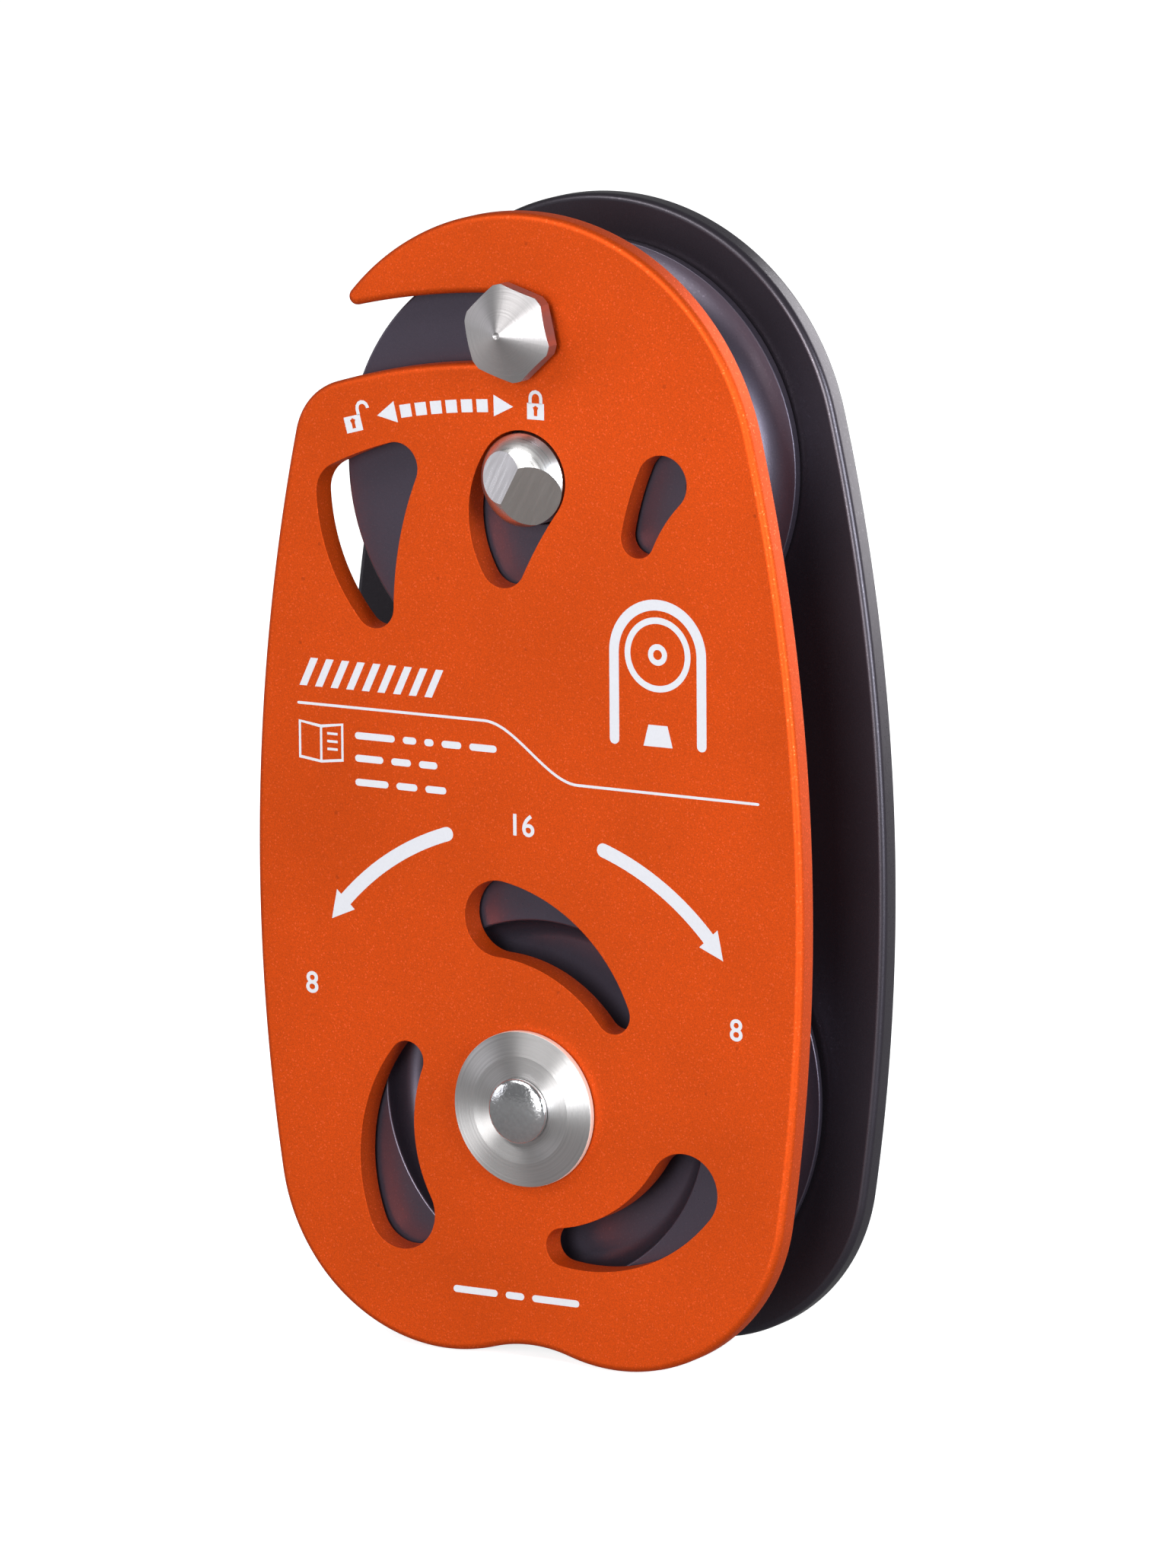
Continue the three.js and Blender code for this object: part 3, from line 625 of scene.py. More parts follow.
@dataclass(frozen=True)
class Finish:
    """What every finish has: a name, a colour and the plain values of its shader."""

    name: str
    colour: Colour
    metallic: float = 1.0
    roughness: float = 0.35
    values: tuple[tuple[str, float], ...] = ()

    def start(self) -> tuple[bpy.types.Material, Sheet, bpy.types.Node, Socket]:
        """Begins the material.

        Returns:
            The material, a sheet to draw on, its Principled shader and the object's place.
        """
        material = bpy.data.materials.new(self.name)
        material.use_nodes = True
        material.diffuse_color = (*self.colour, 1.0)
        sheet = Sheet(material.node_tree)
        shader = material.node_tree.nodes["Principled BSDF"]
        sheet.feed(shader.inputs["Base Color"], (*self.colour, 1.0))
        sheet.feed(shader.inputs["Metallic"], self.metallic)
        sheet.feed(shader.inputs["Roughness"], self.roughness)
        for label, value in self.values:
            sheet.feed(shader.inputs[label], value)
        place = sheet.node("TexCoord").outputs["Object"]
        return material, sheet, shader, place

    def bumped(self, sheet: Sheet, shader: bpy.types.Node, height: Socket, strength: float,
               depth: float) -> None:
        """Gives a shader its relief.

        Args:
            sheet: The material's sheet.
            shader: Its Principled shader.
            height: The relief, from 0 to 1.
            strength: Strength of the bump.
            depth: Real depth of the relief in millimetres.
        """
        bump = sheet.node("Bump", {"Strength": strength, "Distance": depth * MM, "Height": height})
        sheet.feed(shader.inputs["Normal"], bump.outputs[0])


@dataclass(frozen=True)
class BlastedFinish(Finish):
    """Blasted and anodised metal with grain, slow clouding, a few specks, painted glints on single
    grains and painted shade in the grain's hollows.
    """

    scale: float = 2600.0
    # How strongly single grains are lightened as painted glints.
    sparkle: float = 0.25
    # How much painted shade darkens the grain's hollows.
    grain: float = 0.2
    clouding: float = 0.08
    specks: float = 0.0
    relief: float = 0.012

    def make(self, effects: Effects) -> bpy.types.Material:
        """Makes the material.

        Args:
            effects: The shared node groups.

        Returns:
            The finished material.
        """
        material, sheet, shader, place = self.start()
        group = sheet.node("Group", node_tree=effects.blasted)
        sheet.feed(group.inputs["Place"], place)
        sheet.feed(group.inputs["Scale"], self.scale)
        base = (*self.colour, 1.0)
        dark = (*(c * (1 - 2 * self.clouding) for c in self.colour), 1.0)
        light = (*(min(1.0, c * 1.35 + 0.03) for c in self.colour), 1.0)
        clouded = sheet.mix(group.outputs["Cloud"], dark, base)
        # Painted shade: the grain's low points are darkened towards this colour.
        shadow = (*(c * (1 - self.grain) for c in self.colour), 1.0)
        grain = sheet.span(group.outputs["Height"], 0.5, 1.0, 1.0, 0.0)
        clouded = sheet.mix(grain, clouded, shadow)
        # Painted glints: single grains are lightened in the base colour.
        painted_glints = sheet.sum("MULTIPLY", group.outputs["Sparkle"], self.sparkle)
        lit = sheet.mix(painted_glints, clouded, light)
        if self.specks > 0:
            spot = (*(c * 0.35 for c in self.colour), 1.0)
            lit = sheet.mix(sheet.sum("MULTIPLY", group.outputs["Specks"], self.specks), lit, spot)
        sheet.feed(shader.inputs["Base Color"], lit)
        rough = sheet.span(
            group.outputs["Cloud"], 0.0, 1.0, self.roughness - 0.03, self.roughness + 0.04)
        rough = sheet.sum("SUBTRACT", rough, sheet.sum("MULTIPLY", group.outputs["Sparkle"], 0.12))
        sheet.feed(shader.inputs["Roughness"], rough)
        self.bumped(sheet, shader, group.outputs["Height"], 0.55, self.relief)
        return material


@dataclass(frozen=True)
class TurnedFinish(Finish):
    """Metal turned on a lathe, with rings about an axis."""

    centre: Point = (0.0, 0.0)
    pitch: float = 0.12
    contrast: float = 0.18
    relief: float = 0.004
    streaked: bool = False

    def make(self, effects: Effects) -> bpy.types.Material:
        """Makes the material.

        Args:
            effects: The shared node groups.

        Returns:
            The finished material.
        """
        material, sheet, shader, place = self.start()
        shift = (-self.centre[0] * MM, 0.0, -self.centre[1] * MM)
        centred = sheet.node("Mapping", {"Vector": place, "Location": shift}).outputs[0]
        group = sheet.node("Group", node_tree=effects.turning)
        sheet.feed(group.inputs["Place"], centred)
        sheet.feed(group.inputs["Pitch"], self.pitch)
        base = (*self.colour, 1.0)
        dark = (*(c * (1 - self.contrast) for c in self.colour), 1.0)
        sheet.feed(shader.inputs["Base Color"], sheet.mix(group.outputs["Tone"], dark, base))
        rough = sheet.span(
            group.outputs["Tone"], 0.0, 1.0, self.roughness + 0.06, self.roughness - 0.04)
        sheet.feed(shader.inputs["Roughness"], rough)
        self.bumped(sheet, shader, group.outputs["Height"], 0.5, self.relief)
        if self.streaked:
            tangent = sheet.node("Tangent", direction_type="UV_MAP", uv_map="Turning")
            sheet.feed(shader.inputs["Tangent"], tangent.outputs[0])
        return material


@dataclass(frozen=True)
class MilledFinish(Finish):
    """Metal with straight milling lines in one direction."""

    degrees: float = 0.0
    pitch: float = 0.1
    contrast: float = 0.2
    relief: float = 0.004

    def make(self, effects: Effects) -> bpy.types.Material:
        """Makes the material.

        Args:
            effects: The shared node groups.

        Returns:
            The finished material.
        """
        material, sheet, shader, place = self.start()
        aim = (0.0, math.radians(self.degrees), 0.0)
        turned_place = sheet.node("Mapping", {"Vector": place, "Rotation": aim}).outputs[0]
        group = sheet.node("Group", node_tree=effects.milling)
        sheet.feed(group.inputs["Place"], turned_place)
        sheet.feed(group.inputs["Pitch"], self.pitch)
        base = (*self.colour, 1.0)
        dark = (*(c * (1 - self.contrast) for c in self.colour), 1.0)
        sheet.feed(shader.inputs["Base Color"], sheet.mix(group.outputs["Tone"], dark, base))
        rough = sheet.span(
            group.outputs["Tone"], 0.0, 1.0, self.roughness + 0.07, self.roughness - 0.05)
        sheet.feed(shader.inputs["Roughness"], rough)
        self.bumped(sheet, shader, group.outputs["Height"], 0.5, self.relief)
        return material


@dataclass(frozen=True)
class PeenedFinish(Finish):
    """Polished metal with the shallow dents that peening leaves, darker and rougher in their
    hollows.
    """

    dent: float = 1700.0
    relief: float = 0.1

    def make(self, effects: Effects) -> bpy.types.Material:
        """Makes the material.

        Args:
            effects: The shared node groups.

        Returns:
            The finished material.
        """
        material, sheet, shader, place = self.start()
        dents = sheet.noise(place, self.dent, 3.0, 0.55)
        # Darker towards the low points of the dents' relief.
        dent_darkening = sheet.span(dents, 0.35, 0.65, 0.75, 1.0)
        dark = (*(c * 0.45 for c in self.colour), 1.0)
        sheet.feed(shader.inputs["Base Color"], sheet.mix(dent_darkening, dark, (*self.colour, 1.0)))
        sheet.feed(shader.inputs["Roughness"],
                   sheet.span(dents, 0.3, 0.7, self.roughness + 0.12, self.roughness))
        self.bumped(sheet, shader, dents, 0.5, self.relief)
        return material


@dataclass(frozen=True)
class PlainFinish(Finish):
    """Moulded, sintered or printed material with a fine even mottle."""

    scale: float = 1800.0
    mottle: float = 0.15
    relief: float = 0.02

    def make(self, effects: Effects) -> bpy.types.Material:
        """Makes the material.

        Args:
            effects: The shared node groups.

        Returns:
            The finished material.
        """
        material, sheet, shader, place = self.start()
        mottle = sheet.noise(place, self.scale, 3.0, 0.6)
        dark = (*(c * (1 - 2 * self.mottle) for c in self.colour), 1.0)
        sheet.feed(shader.inputs["Base Color"], sheet.mix(mottle, dark, (*self.colour, 1.0)))
        sheet.feed(shader.inputs["Roughness"],
                   sheet.span(mottle, 0.3, 0.7, self.roughness - 0.06, self.roughness + 0.06))
        self.bumped(sheet, shader, mottle, 0.4, self.relief)
        return material


class Paints:
    """Every material of the pulley, made once."""

    def __init__(self) -> None:
        """Makes the materials."""
        effects = Effects()
        sealed = (("Coat Weight", 0.4), ("Coat Roughness", 0.3))
        self.orange = BlastedFinish(
            "orange_anodised", (0.74, 0.080, 0.0015), 0.75, 0.55, scale=5000.0, sparkle=0.55,
            grain=0.35, clouding=0.03, specks=0.4).make(effects)
        self.black = BlastedFinish(
            "black_anodised", (0.042, 0.034, 0.046), 0.7, 0.36, sealed,
            scale=5000.0, sparkle=0.3, clouding=0.06).make(effects)
        self.grey = BlastedFinish(
            "grey_anodised", (0.085, 0.070, 0.100), 0.75, 0.4, sealed,
            scale=5000.0, sparkle=0.25, clouding=0.05, relief=0.006).make(effects)
        self.print = PlainFinish(
            "white_print", (0.52, 0.52, 0.55), 0.0, 0.55, mottle=0.06, scale=3000.0,
            relief=0.01).make(effects)
        self.washer = TurnedFinish(
            "washer_steel", (0.66, 0.645, 0.64), 1.0, 0.42, (("Anisotropic", 0.85),),
            centre=AXLE, pitch=0.07, contrast=0.16, relief=0.002, streaked=True).make(effects)
        # Painted sheen: the washer's side wall, the same steel as its face, is lighter and warmer
        # for the light it catches and the orange plate it reflects.
        self.washer_rim_painted_sheen = TurnedFinish(
            "washer_rim_steel", (0.80, 0.74, 0.66), 0.6, 0.6, centre=AXLE, pitch=0.15,
            contrast=0.08).make(effects)
        self.stud = TurnedFinish(
            "stud_steel", (0.50, 0.48, 0.48), 1.0, 0.46, (("Anisotropic", 0.7),),
            centre=STUD, pitch=0.05, contrast=0.08, relief=0.0015, streaked=True).make(effects)
        # Painted shade: the head's hexagonal sides, the same steel as its cone, are darker for the
        # shade they stand in.
        self.stud_side_painted_shade = TurnedFinish(
            "stud_side_steel", (0.30, 0.26, 0.27), 1.0, 0.5, centre=STUD, pitch=0.1).make(effects)
        self.nut = TurnedFinish(
            "nut_steel", (0.55, 0.54, 0.53), 1.0, 0.3, centre=STUD, pitch=0.1).make(effects)
        self.dome = TurnedFinish(
            "button_polished", (0.70, 0.69, 0.68), 1.0, 0.3, centre=SPOOL, pitch=0.07,
            contrast=0.12, relief=0.002).make(effects)
        # The two flats share one milled finish: the long flat is painted darker and warmer as
        # painted shade, the short one lighter as painted light.
        self.flat_long_painted_shade = MilledFinish(
            "button_milled_long_shaded", (0.52, 0.475, 0.45), 1.0, 0.33, degrees=60.0).make(effects)
        self.flat_short_painted_light = MilledFinish(
            "button_milled_short_lit", (0.62, 0.60, 0.61), 1.0, 0.3, degrees=60.0).make(effects)
        self.axle = PeenedFinish(
            "axle_polished", (0.70, 0.70, 0.71), 1.0, 0.1).make(effects)
        self.stainless = TurnedFinish(
            "stainless", (0.56, 0.54, 0.53), 1.0, 0.3, centre=AXLE, pitch=0.15).make(effects)
        self.fixing = MilledFinish(
            "fixing_steel", (0.5, 0.49, 0.49), 1.0, 0.32, degrees=0.0, pitch=0.2).make(effects)
        self.bearing = TurnedFinish(
            "bearing_steel", (0.6, 0.61, 0.63), 1.0, 0.2, centre=AXLE, pitch=0.08,
            contrast=0.1).make(effects)
        self.bronze = PlainFinish(
            "bronze", (0.45, 0.25, 0.09), 1.0, 0.42, relief=0.015).make(effects)
        self.plastic = PlainFinish(
            "cage_plastic", (0.03, 0.025, 0.02), 0.0, 0.5).make(effects)


# ------------------------------------------------------------------ side plates


@dataclass
class SidePlates:
    """The hooked front plate that swings, and the plain rear plate."""

    paints: Paints
    arch: float = 36.9
    half_width: float = 43.8
    waist_rise: float = 30.0
    lobe: float = 27.0
    lobe_drop: float = 9.1
    notch: float = 21.0
    edge: float = 1.0
    window_edge: float = 0.14
    slot_half: float = 4.8
    hook_tip: float = 1.2
    lip: float = 9.5
    bush_seat: float = 7.55
    screw_head: float = 5.05
    screw_neck: float = 2.75
    screw_head_depth: float = 2.5

    def arcs(self) -> dict[str, Arc]:
        """Returns the circles that both outlines share, by name."""
        waist = AXLE[1] + self.waist_rise
        big = (self.half_width**2 + waist**2 - self.arch**2) / (2 * (self.half_width - self.arch))
        lobe_z = AXLE[1] - self.lobe_drop
        lobe_x = self.half_width - big + math.sqrt((big - self.lobe) ** 2 - (waist - lobe_z) ** 2)
        left, right = Arc(-lobe_x, lobe_z, self.lobe), Arc(lobe_x, lobe_z, self.lobe)
        return {
            "lobe_right": right,
            "flank_right": Arc(self.half_width - big, waist, big),
            "arch": Arc(0.0, 0.0, self.arch),
            "flank_left": Arc(big - self.half_width, waist, big),
            "lobe_left": left,
            "notch": left.touching(right, -self.notch, -1),
        }

    def hooked_outline(self) -> Loop:
        """Returns the front plate's outline, with the slot that hooks behind the stud."""
        arcs = self.arcs()
        reach = STUD[1] - AXLE[1]
        slot_end = Arc(*STUD, -self.slot_half)
        slot_outer = Arc(*AXLE, -(reach + self.slot_half))
        slot_inner = Arc(*AXLE, reach - self.slot_half)
        tip = arcs["arch"].touching(slot_outer, self.hook_tip, -1)
        lip = slot_inner.touching(arcs["flank_left"], self.lip, 1)
        return outline([
            arcs["lobe_right"], arcs["flank_right"], arcs["arch"], tip, slot_outer, slot_end,
            slot_inner, lip, arcs["flank_left"], arcs["lobe_left"], arcs["notch"],
        ])

    def commas(self) -> list[Loop]:
        """Returns the three windows about the axle."""
        comma = window([(-4.4, 26.3, 5.4), (13.9, 14.5, 2.7)], [-22, 26])
        return [moved(comma, AXLE, -120 * i) for i in range(3)]

    def claws(self) -> list[Loop]:
        """Returns the three windows in front of the spool."""
        return [
            window([(-20.3, 0.3, 3.5), (-28.8, -4.1, 4.5), (-24, -19.5, 3.1)], [60, 28, -50]),
            window([(0, 0, 6.9), (-3.2, -11.7, 3.6)], [16, -60]),
            window([(22.2, 1.1, 3.9), (18.3, -6.9, 2.6)], [40, -21]),
        ]

    def blank(self, name: str, loop: Loop, low: float, high: float,
              windows: Iterable[Loop]) -> bpy.types.Object:
        """Makes a plate with rounded edges and cuts its windows.

        Args:
            name: The plate's name.
            loop: Its outline.
            low: Y of its front face.
            high: Y of its rear face.
            windows: Outlines of the windows.

        Returns:
            The plate, not yet shaded.
        """
        plate = slab(name, loop, low, high)
        ease_edges(plate, self.edge, 5)
        for points in windows:
            combine(plate, slab("cutter", points, low - 1, high + 1), "DIFFERENCE")
        return plate

    def front(self) -> bpy.types.Object:
        """Returns the orange plate."""
        windows = self.claws() + self.commas()
        plate = self.blank("fine_front_plate", self.hooked_outline(), -OUTER, -INNER, windows)
        drill(plate, AXLE, self.bush_seat, -OUTER - 1, -INNER + 1, 72)
        ease_edges(plate, self.window_edge, 2)
        shade(plate)
        dress(plate, self.paints.orange)
        return settle(plate, Body.PLATE, "orange_anodised", "front_side_plate")

    def rear(self) -> bpy.types.Object:
        """Returns the dark plate with the holes for its fixings."""
        arcs = self.arcs()
        loop = outline([arcs[name] for name in (
            "lobe_right", "flank_right", "arch", "flank_left", "lobe_left", "notch")])
        plate = self.blank("fine_rear_plate", loop, INNER, OUTER, self.commas())
        drill(plate, AXLE, SLEEVE_BORE, INNER - 1, OUTER + 1, 72)
        drill(plate, STUD, 3.75, INNER - 1, OUTER + 1)
        drill(plate, Spool.dowel_place(), 2.25, INNER - 1, OUTER + 1)
        for centre in Spool.screw_places():
            sink = turned("cutter", [
                (0, INNER - 1), (self.screw_neck, INNER - 1),
                (self.screw_neck, OUTER - CLEARANCE - self.screw_head_depth),
                (self.screw_head, OUTER - CLEARANCE), (self.screw_head, OUTER + 1), (0, OUTER + 1),
            ], centre, 64)
            combine(plate, sink, "DIFFERENCE")
        ease_edges(plate, self.window_edge, 2)
        shade(plate)
        dress(plate, self.paints.black)
        return settle(plate, Body.ROOT, "black_anodised", "rear_side_plate")

    def bush(self) -> bpy.types.Object:
        """Returns the bronze bush on which the front plate swings."""
        outer, flange = SLEEVE_BORE + 1.3, -INNER + CLEARANCE
        profile = eased([
            (outer, -OUTER, 0.2), (outer, flange), (9.4, flange, 0.15), (9.4, flange + 0.9, 0.15),
            (SLEEVE_BORE, flange + 0.9, 0.2), (SLEEVE_BORE, -OUTER, 0.2),
        ])
        bush = turned("fine_pivot_bush", profile, AXLE, 72)
        shade(bush)
        dress(bush, self.paints.bronze)
        return settle(bush, Body.PLATE, "bronze", "plate_pivot_bush")

    def make(self) -> None:
        """Makes both plates and the bush."""
        self.front()
        self.rear()
        self.bush()


# ------------------------------------------------------------------ print on the front plate


@dataclass
class Print:
    """The white marks on the front plate: arrows, lines, locks and plain numbers."""

    paints: Paints
    proud: float = 0.02
    sunk: float = 0.02

    def stroke(self, points: Sequence[Point], width: float, caps: bool = True) -> Loop:
        """Returns the outline of a line of a given width.

        Args:
            points: The middle of the line.
            width: Its width.
            caps: Whether its ends are round.

        Returns:
            The outline.
        """
        half = width / 2
        left: Loop = []
        right: Loop = []
        for i, (x, z) in enumerate(points):
            x0, z0 = points[max(i - 1, 0)]
            x1, z1 = points[min(i + 1, len(points) - 1)]
            length = math.hypot(x1 - x0, z1 - z0)
            nx, nz = -(z1 - z0) / length, (x1 - x0) / length
            left.append((x + nx * half, z + nz * half))
            right.append((x - nx * half, z - nz * half))
        if not caps:
            return right + left[::-1]
        return right + self.cap(points[-1], right[-1], half) + left[::-1] + self.cap(
            points[0], left[0], half)

    def cap(self, centre: Point, start: Point, radius: float) -> Loop:
        """Returns the inside points of a half circle that goes on from a point."""
        first = math.degrees(math.atan2(start[1] - centre[1], start[0] - centre[0]))
        return [polar(radius, first + 22.5 * i, centre) for i in range(1, 8)]

    def marks(self, name: str, loops: Sequence[Loop]) -> bpy.types.Object:
        """Makes a thin raised mark from outlines, where one inside another is a hole.

        Args:
            name: The mark's name.
            loops: The outlines in X and Z of the plate.

        Returns:
            The mark, riding on the front plate.
        """
        curve = bpy.data.curves.new(name, "CURVE")
        curve.dimensions = "2D"
        curve.fill_mode = "BOTH"
        curve.extrude = (self.proud + self.sunk) / 2 * MM
        for loop in loops:
            spline = curve.splines.new("POLY")
            spline.points.add(len(loop) - 1)
            for point, (x, z) in zip(spline.points, loop):
                point.co = (x * MM, z * MM, 0.0, 1.0)
            spline.use_cyclic_u = True
        return self.laid(name, curve)

    def laid(self, name: str, curve: bpy.types.Curve) -> bpy.types.Object:
        """Makes a flat curve or text a mesh and lays it on the front plate.

        Args:
            name: The piece's name.
            curve: The flat curve or text.

        Returns:
            The finished piece.
        """
        piece = bpy.data.objects.new(name, curve)
        bpy.context.scene.collection.objects.link(piece)
        take(piece)
        bpy.ops.object.convert(target="MESH")
        piece = bpy.context.active_object
        piece.rotation_euler = (math.pi / 2, 0.0, 0.0)
        piece.location = (0.0, (-OUTER + (self.sunk - self.proud) / 2) * MM, 0.0)
        bpy.ops.object.transform_apply(location=True, rotation=True, scale=True)
        sound(piece)
        dress(piece, self.paints.print)
        return settle(piece, Body.PLATE, "orange_anodised")

    def number(self, name: str, digits: str, centre: Point, height: float) -> bpy.types.Object:
        """Prints a plain number about a centre.

        Args:
            name: The piece's name.
            digits: The number.
            centre: Its centre in X and Z.
            height: The height of its digits.

        Returns:
            The finished piece.
        """
        text = bpy.data.curves.new(name, "FONT")
        text.body = digits
        text.size = height / 0.7 * MM
        text.align_x = "CENTER"
        text.align_y = "CENTER"
        text.extrude = (self.proud + self.sunk) / 2 * MM
        text.offset = 0.00006
        piece = self.laid(name, text)
        piece.data.transform(Matrix.Translation((centre[0] * MM, 0.0, centre[1] * MM)))
        return piece

    def arrow_head(self, tip: Point, degrees: float, length: float, half: float) -> Loop:
        """Returns a triangle that points in a direction."""
        return moved([(0, 0), (-length, -half), (-length, half)][::-1], tip, degrees)

    def load_arrows(self) -> None:
        """Prints the two curved arrows over the sheave."""
        reach, width = 39.6, 2.0
        for name, start, end in (("left", 108.5, 137.5), ("right", 71.5, 42.5)):
            step = 1 if end > start else -1
            half = width / 2
            angles = [start + (end - start) * i / 24 for i in range(25)]
            outer = [polar(reach + half, angle, AXLE) for angle in angles]
            inner = [polar(reach - half, angle, AXLE) for angle in angles]
            foot = polar(reach, start, AXLE)
            tail = [polar(half, start + step * 22.5 * i, foot) for i in range(-7, 0)]
            head = [polar(reach + 1.95, end, AXLE), polar(reach - 0.1, end + step * 5.4, AXLE),
                    polar(reach - 1.95, end, AXLE)]
            self.marks(f"print_arrow_{name}", [outer + head + inner[::-1] + tail])

    def lock_arrow(self) -> None:
        """Prints the dashed arrow with a head at each end, under the slot."""
        reach, half = 98.3, 0.9
        first, last = 103.65, 90.75
        loops: list[Loop] = []
        dashes = 6
        inner_first, inner_last = first - 2.1, last + 2.1
        pitch = (inner_first - inner_last) / dashes
        for i in range(dashes):
            a0 = inner_first - pitch * (i + 0.1)
            a1 = inner_first - pitch * (i + 0.82)
            loops.append([
                polar(reach - half, a0, AXLE), polar(reach - half, a1, AXLE),
                polar(reach + half, a1, AXLE), polar(reach + half, a0, AXLE),
            ])
        self.marks("print_dashes", loops)
        self.marks("print_dash_heads", [
            self.arrow_head(polar(reach, first, AXLE), first + 90, 3.1, 1.5),
            self.arrow_head(polar(reach, last, AXLE), last - 90, 3.1, 1.5),
        ])

    def padlock(self, name: str, centre: Point, degrees: float, is_open: bool) -> None:
        """Prints a small padlock.

        Args:
            name: The mark's name.
            centre: The middle of its body.
            degrees: How far it is tilted.
            is_open: Whether its shackle stands open.
        """
        body = [(-1.35, -1.25), (1.35, -1.25), (1.35, 1.0), (-1.35, 1.0)]
        keyhole = [(-0.28, -0.75), (0.28, -0.75), (0.28, 0.05), (0.45, 0.4), (0, 0.7), (-0.45, 0.4),
                   (-0.28, 0.05)]
        side = 2.0 if is_open else 0.0
        bow = [(side - 0.85, 0.95), (side - 0.85, 1.6)]
        bow += [polar(0.85, 180 - 30 * i, (side, 1.75)) for i in range(7)]
        bow += [(side + 0.85, 1.6)] + ([] if is_open else [(side + 0.85, 0.95)])
        shackle = self.stroke(bow, 0.5, caps=False)
        self.marks(f"print_{name}_body", [
            moved(body, centre, degrees), moved(keyhole, centre, degrees)])
        self.marks(f"print_{name}_shackle", [moved(shackle, centre, degrees)])

    def divider(self) -> None:
        """Prints the thin line that steps down across the plate."""
        start, bend, low, end = (-36.6, -34.1), (-6.4, -34.1), (8.6, -41.9), (37.1, -42.0)
        path: Loop = [start]
        for i in range(25):
            share = i / 24
            eased_share = share * share * (3 - 2 * share)
            x = bend[0] + (low[0] - bend[0]) * share
            path.append((x, bend[1] + (low[1] - bend[1]) * eased_share))
        path.append(end)
        self.marks("print_divider", [self.stroke(path, 0.38)])

    def booklet(self) -> None:
        """Prints the open booklet."""
        left, right, low, high, wall = -36.6, -29.3, -41.9, -36.5, 0.35
        middle = (left + right) / 2
        outside = [(left, low), (middle, low - 0.45), (right, low), (right, high),
                   (middle, high - 0.45), (left, high)]
        pages = [
            [(left + wall, low + wall), (middle - wall / 2, low - 0.05),
             (middle - wall / 2, high - 0.85), (left + wall, high - wall)],
            [(middle + wall / 2, low - 0.05), (right - wall, low + wall),
             (right - wall, high - wall), (middle + wall / 2, high - 0.85)],
        ]
        self.marks("print_booklet", [outside, *pages])
        lines = [self.stroke([(middle + 1.0, z), (right - 0.95, z)], 0.35, caps=False)
                 for z in (-38.1, -39.2, -40.3)]
        self.marks("print_booklet_lines", lines)

    def rope_mark(self) -> None:
        """Prints the length of twisted rope at the left."""
        loops: list[Loop] = []
        count, pitch = 9, 2.55
        for i in range(count):
            x = -36.4 + pitch * i
            strand = [(x, -31.6), (x + 1.2, -31.6), (x + 3.1, -27.6), (x + 1.9, -27.6)]
            loops.append(strand)
        self.marks("print_rope", loops)

    def sheave_mark(self) -> None:
        """Prints the plain drawing of a rope over a wheel at the right."""
        centre, wheel = (21.4, -22.6), 5.2
        self.marks("print_wheel", [ring(wheel, centre), ring(wheel - 0.9, centre)])
        self.marks("print_hub", [ring(1.5, centre, 32), ring(0.7, centre, 24)])
        over = [polar(wheel + 1.7, 180 * i / 32, centre) for i in range(33)]
        left = (centre[0] - wheel - 1.7, centre[1] - 12.2)
        right = (centre[0] + wheel + 1.7, centre[1] - 12.2)
        self.marks("print_wheel_rope", [self.stroke([right, *over, left], 1.5)])
        weight = [(-2.3, -1.5), (2.3, -1.5), (1.5, 1.5), (-1.5, 1.5)]
        self.marks("print_weight", [moved(weight, (centre[0], centre[1] - 11.3))])

    def small_lines(self) -> None:
        """Prints the short plain bars beside the booklet and at the foot."""
        rows = {
            "size": [(-27.4, -38.0, (6.5, 2.2, 1.5, 3.2, 4.4))],
            "load": [(-27.4, -41.2, (4.6, 3.2, 3.0))],
            "batch": [(-27.4, -44.6, (5.4, 3.4, 3.4))],
            "foot": [(-12.2, -115.3, (7.2, 3.0, 7.6))],
        }
        for name, row in rows.items():
            loops: list[Loop] = []
            for x, z, words in row:
                for length in words:
                    loops.append(self.stroke([(x + 0.5, z), (x + length - 0.5, z)], 1.0))
                    x += length + 1.3
            self.marks(f"print_bars_{name}", loops)

    def make(self) -> None:
        """Prints everything."""
        self.load_arrows()
        self.lock_arrow()
        self.padlock("open_lock", (-27.1, 6.0), 15.0, True)
        self.padlock("closed_lock", (2.3, 9.8), 0.0, False)
        self.divider()
        self.booklet()
        self.rope_mark()
        self.sheave_mark()
        self.small_lines()
        self.number("print_number_top", "16", (-0.5, -48.5), 3.0)
        self.number("print_number_left", "8", (-34.9, -74.0), 3.0)
        self.number("print_number_right", "8", (33.5, -74.0), 3.0)


# ------------------------------------------------------------------ spool and its fixings


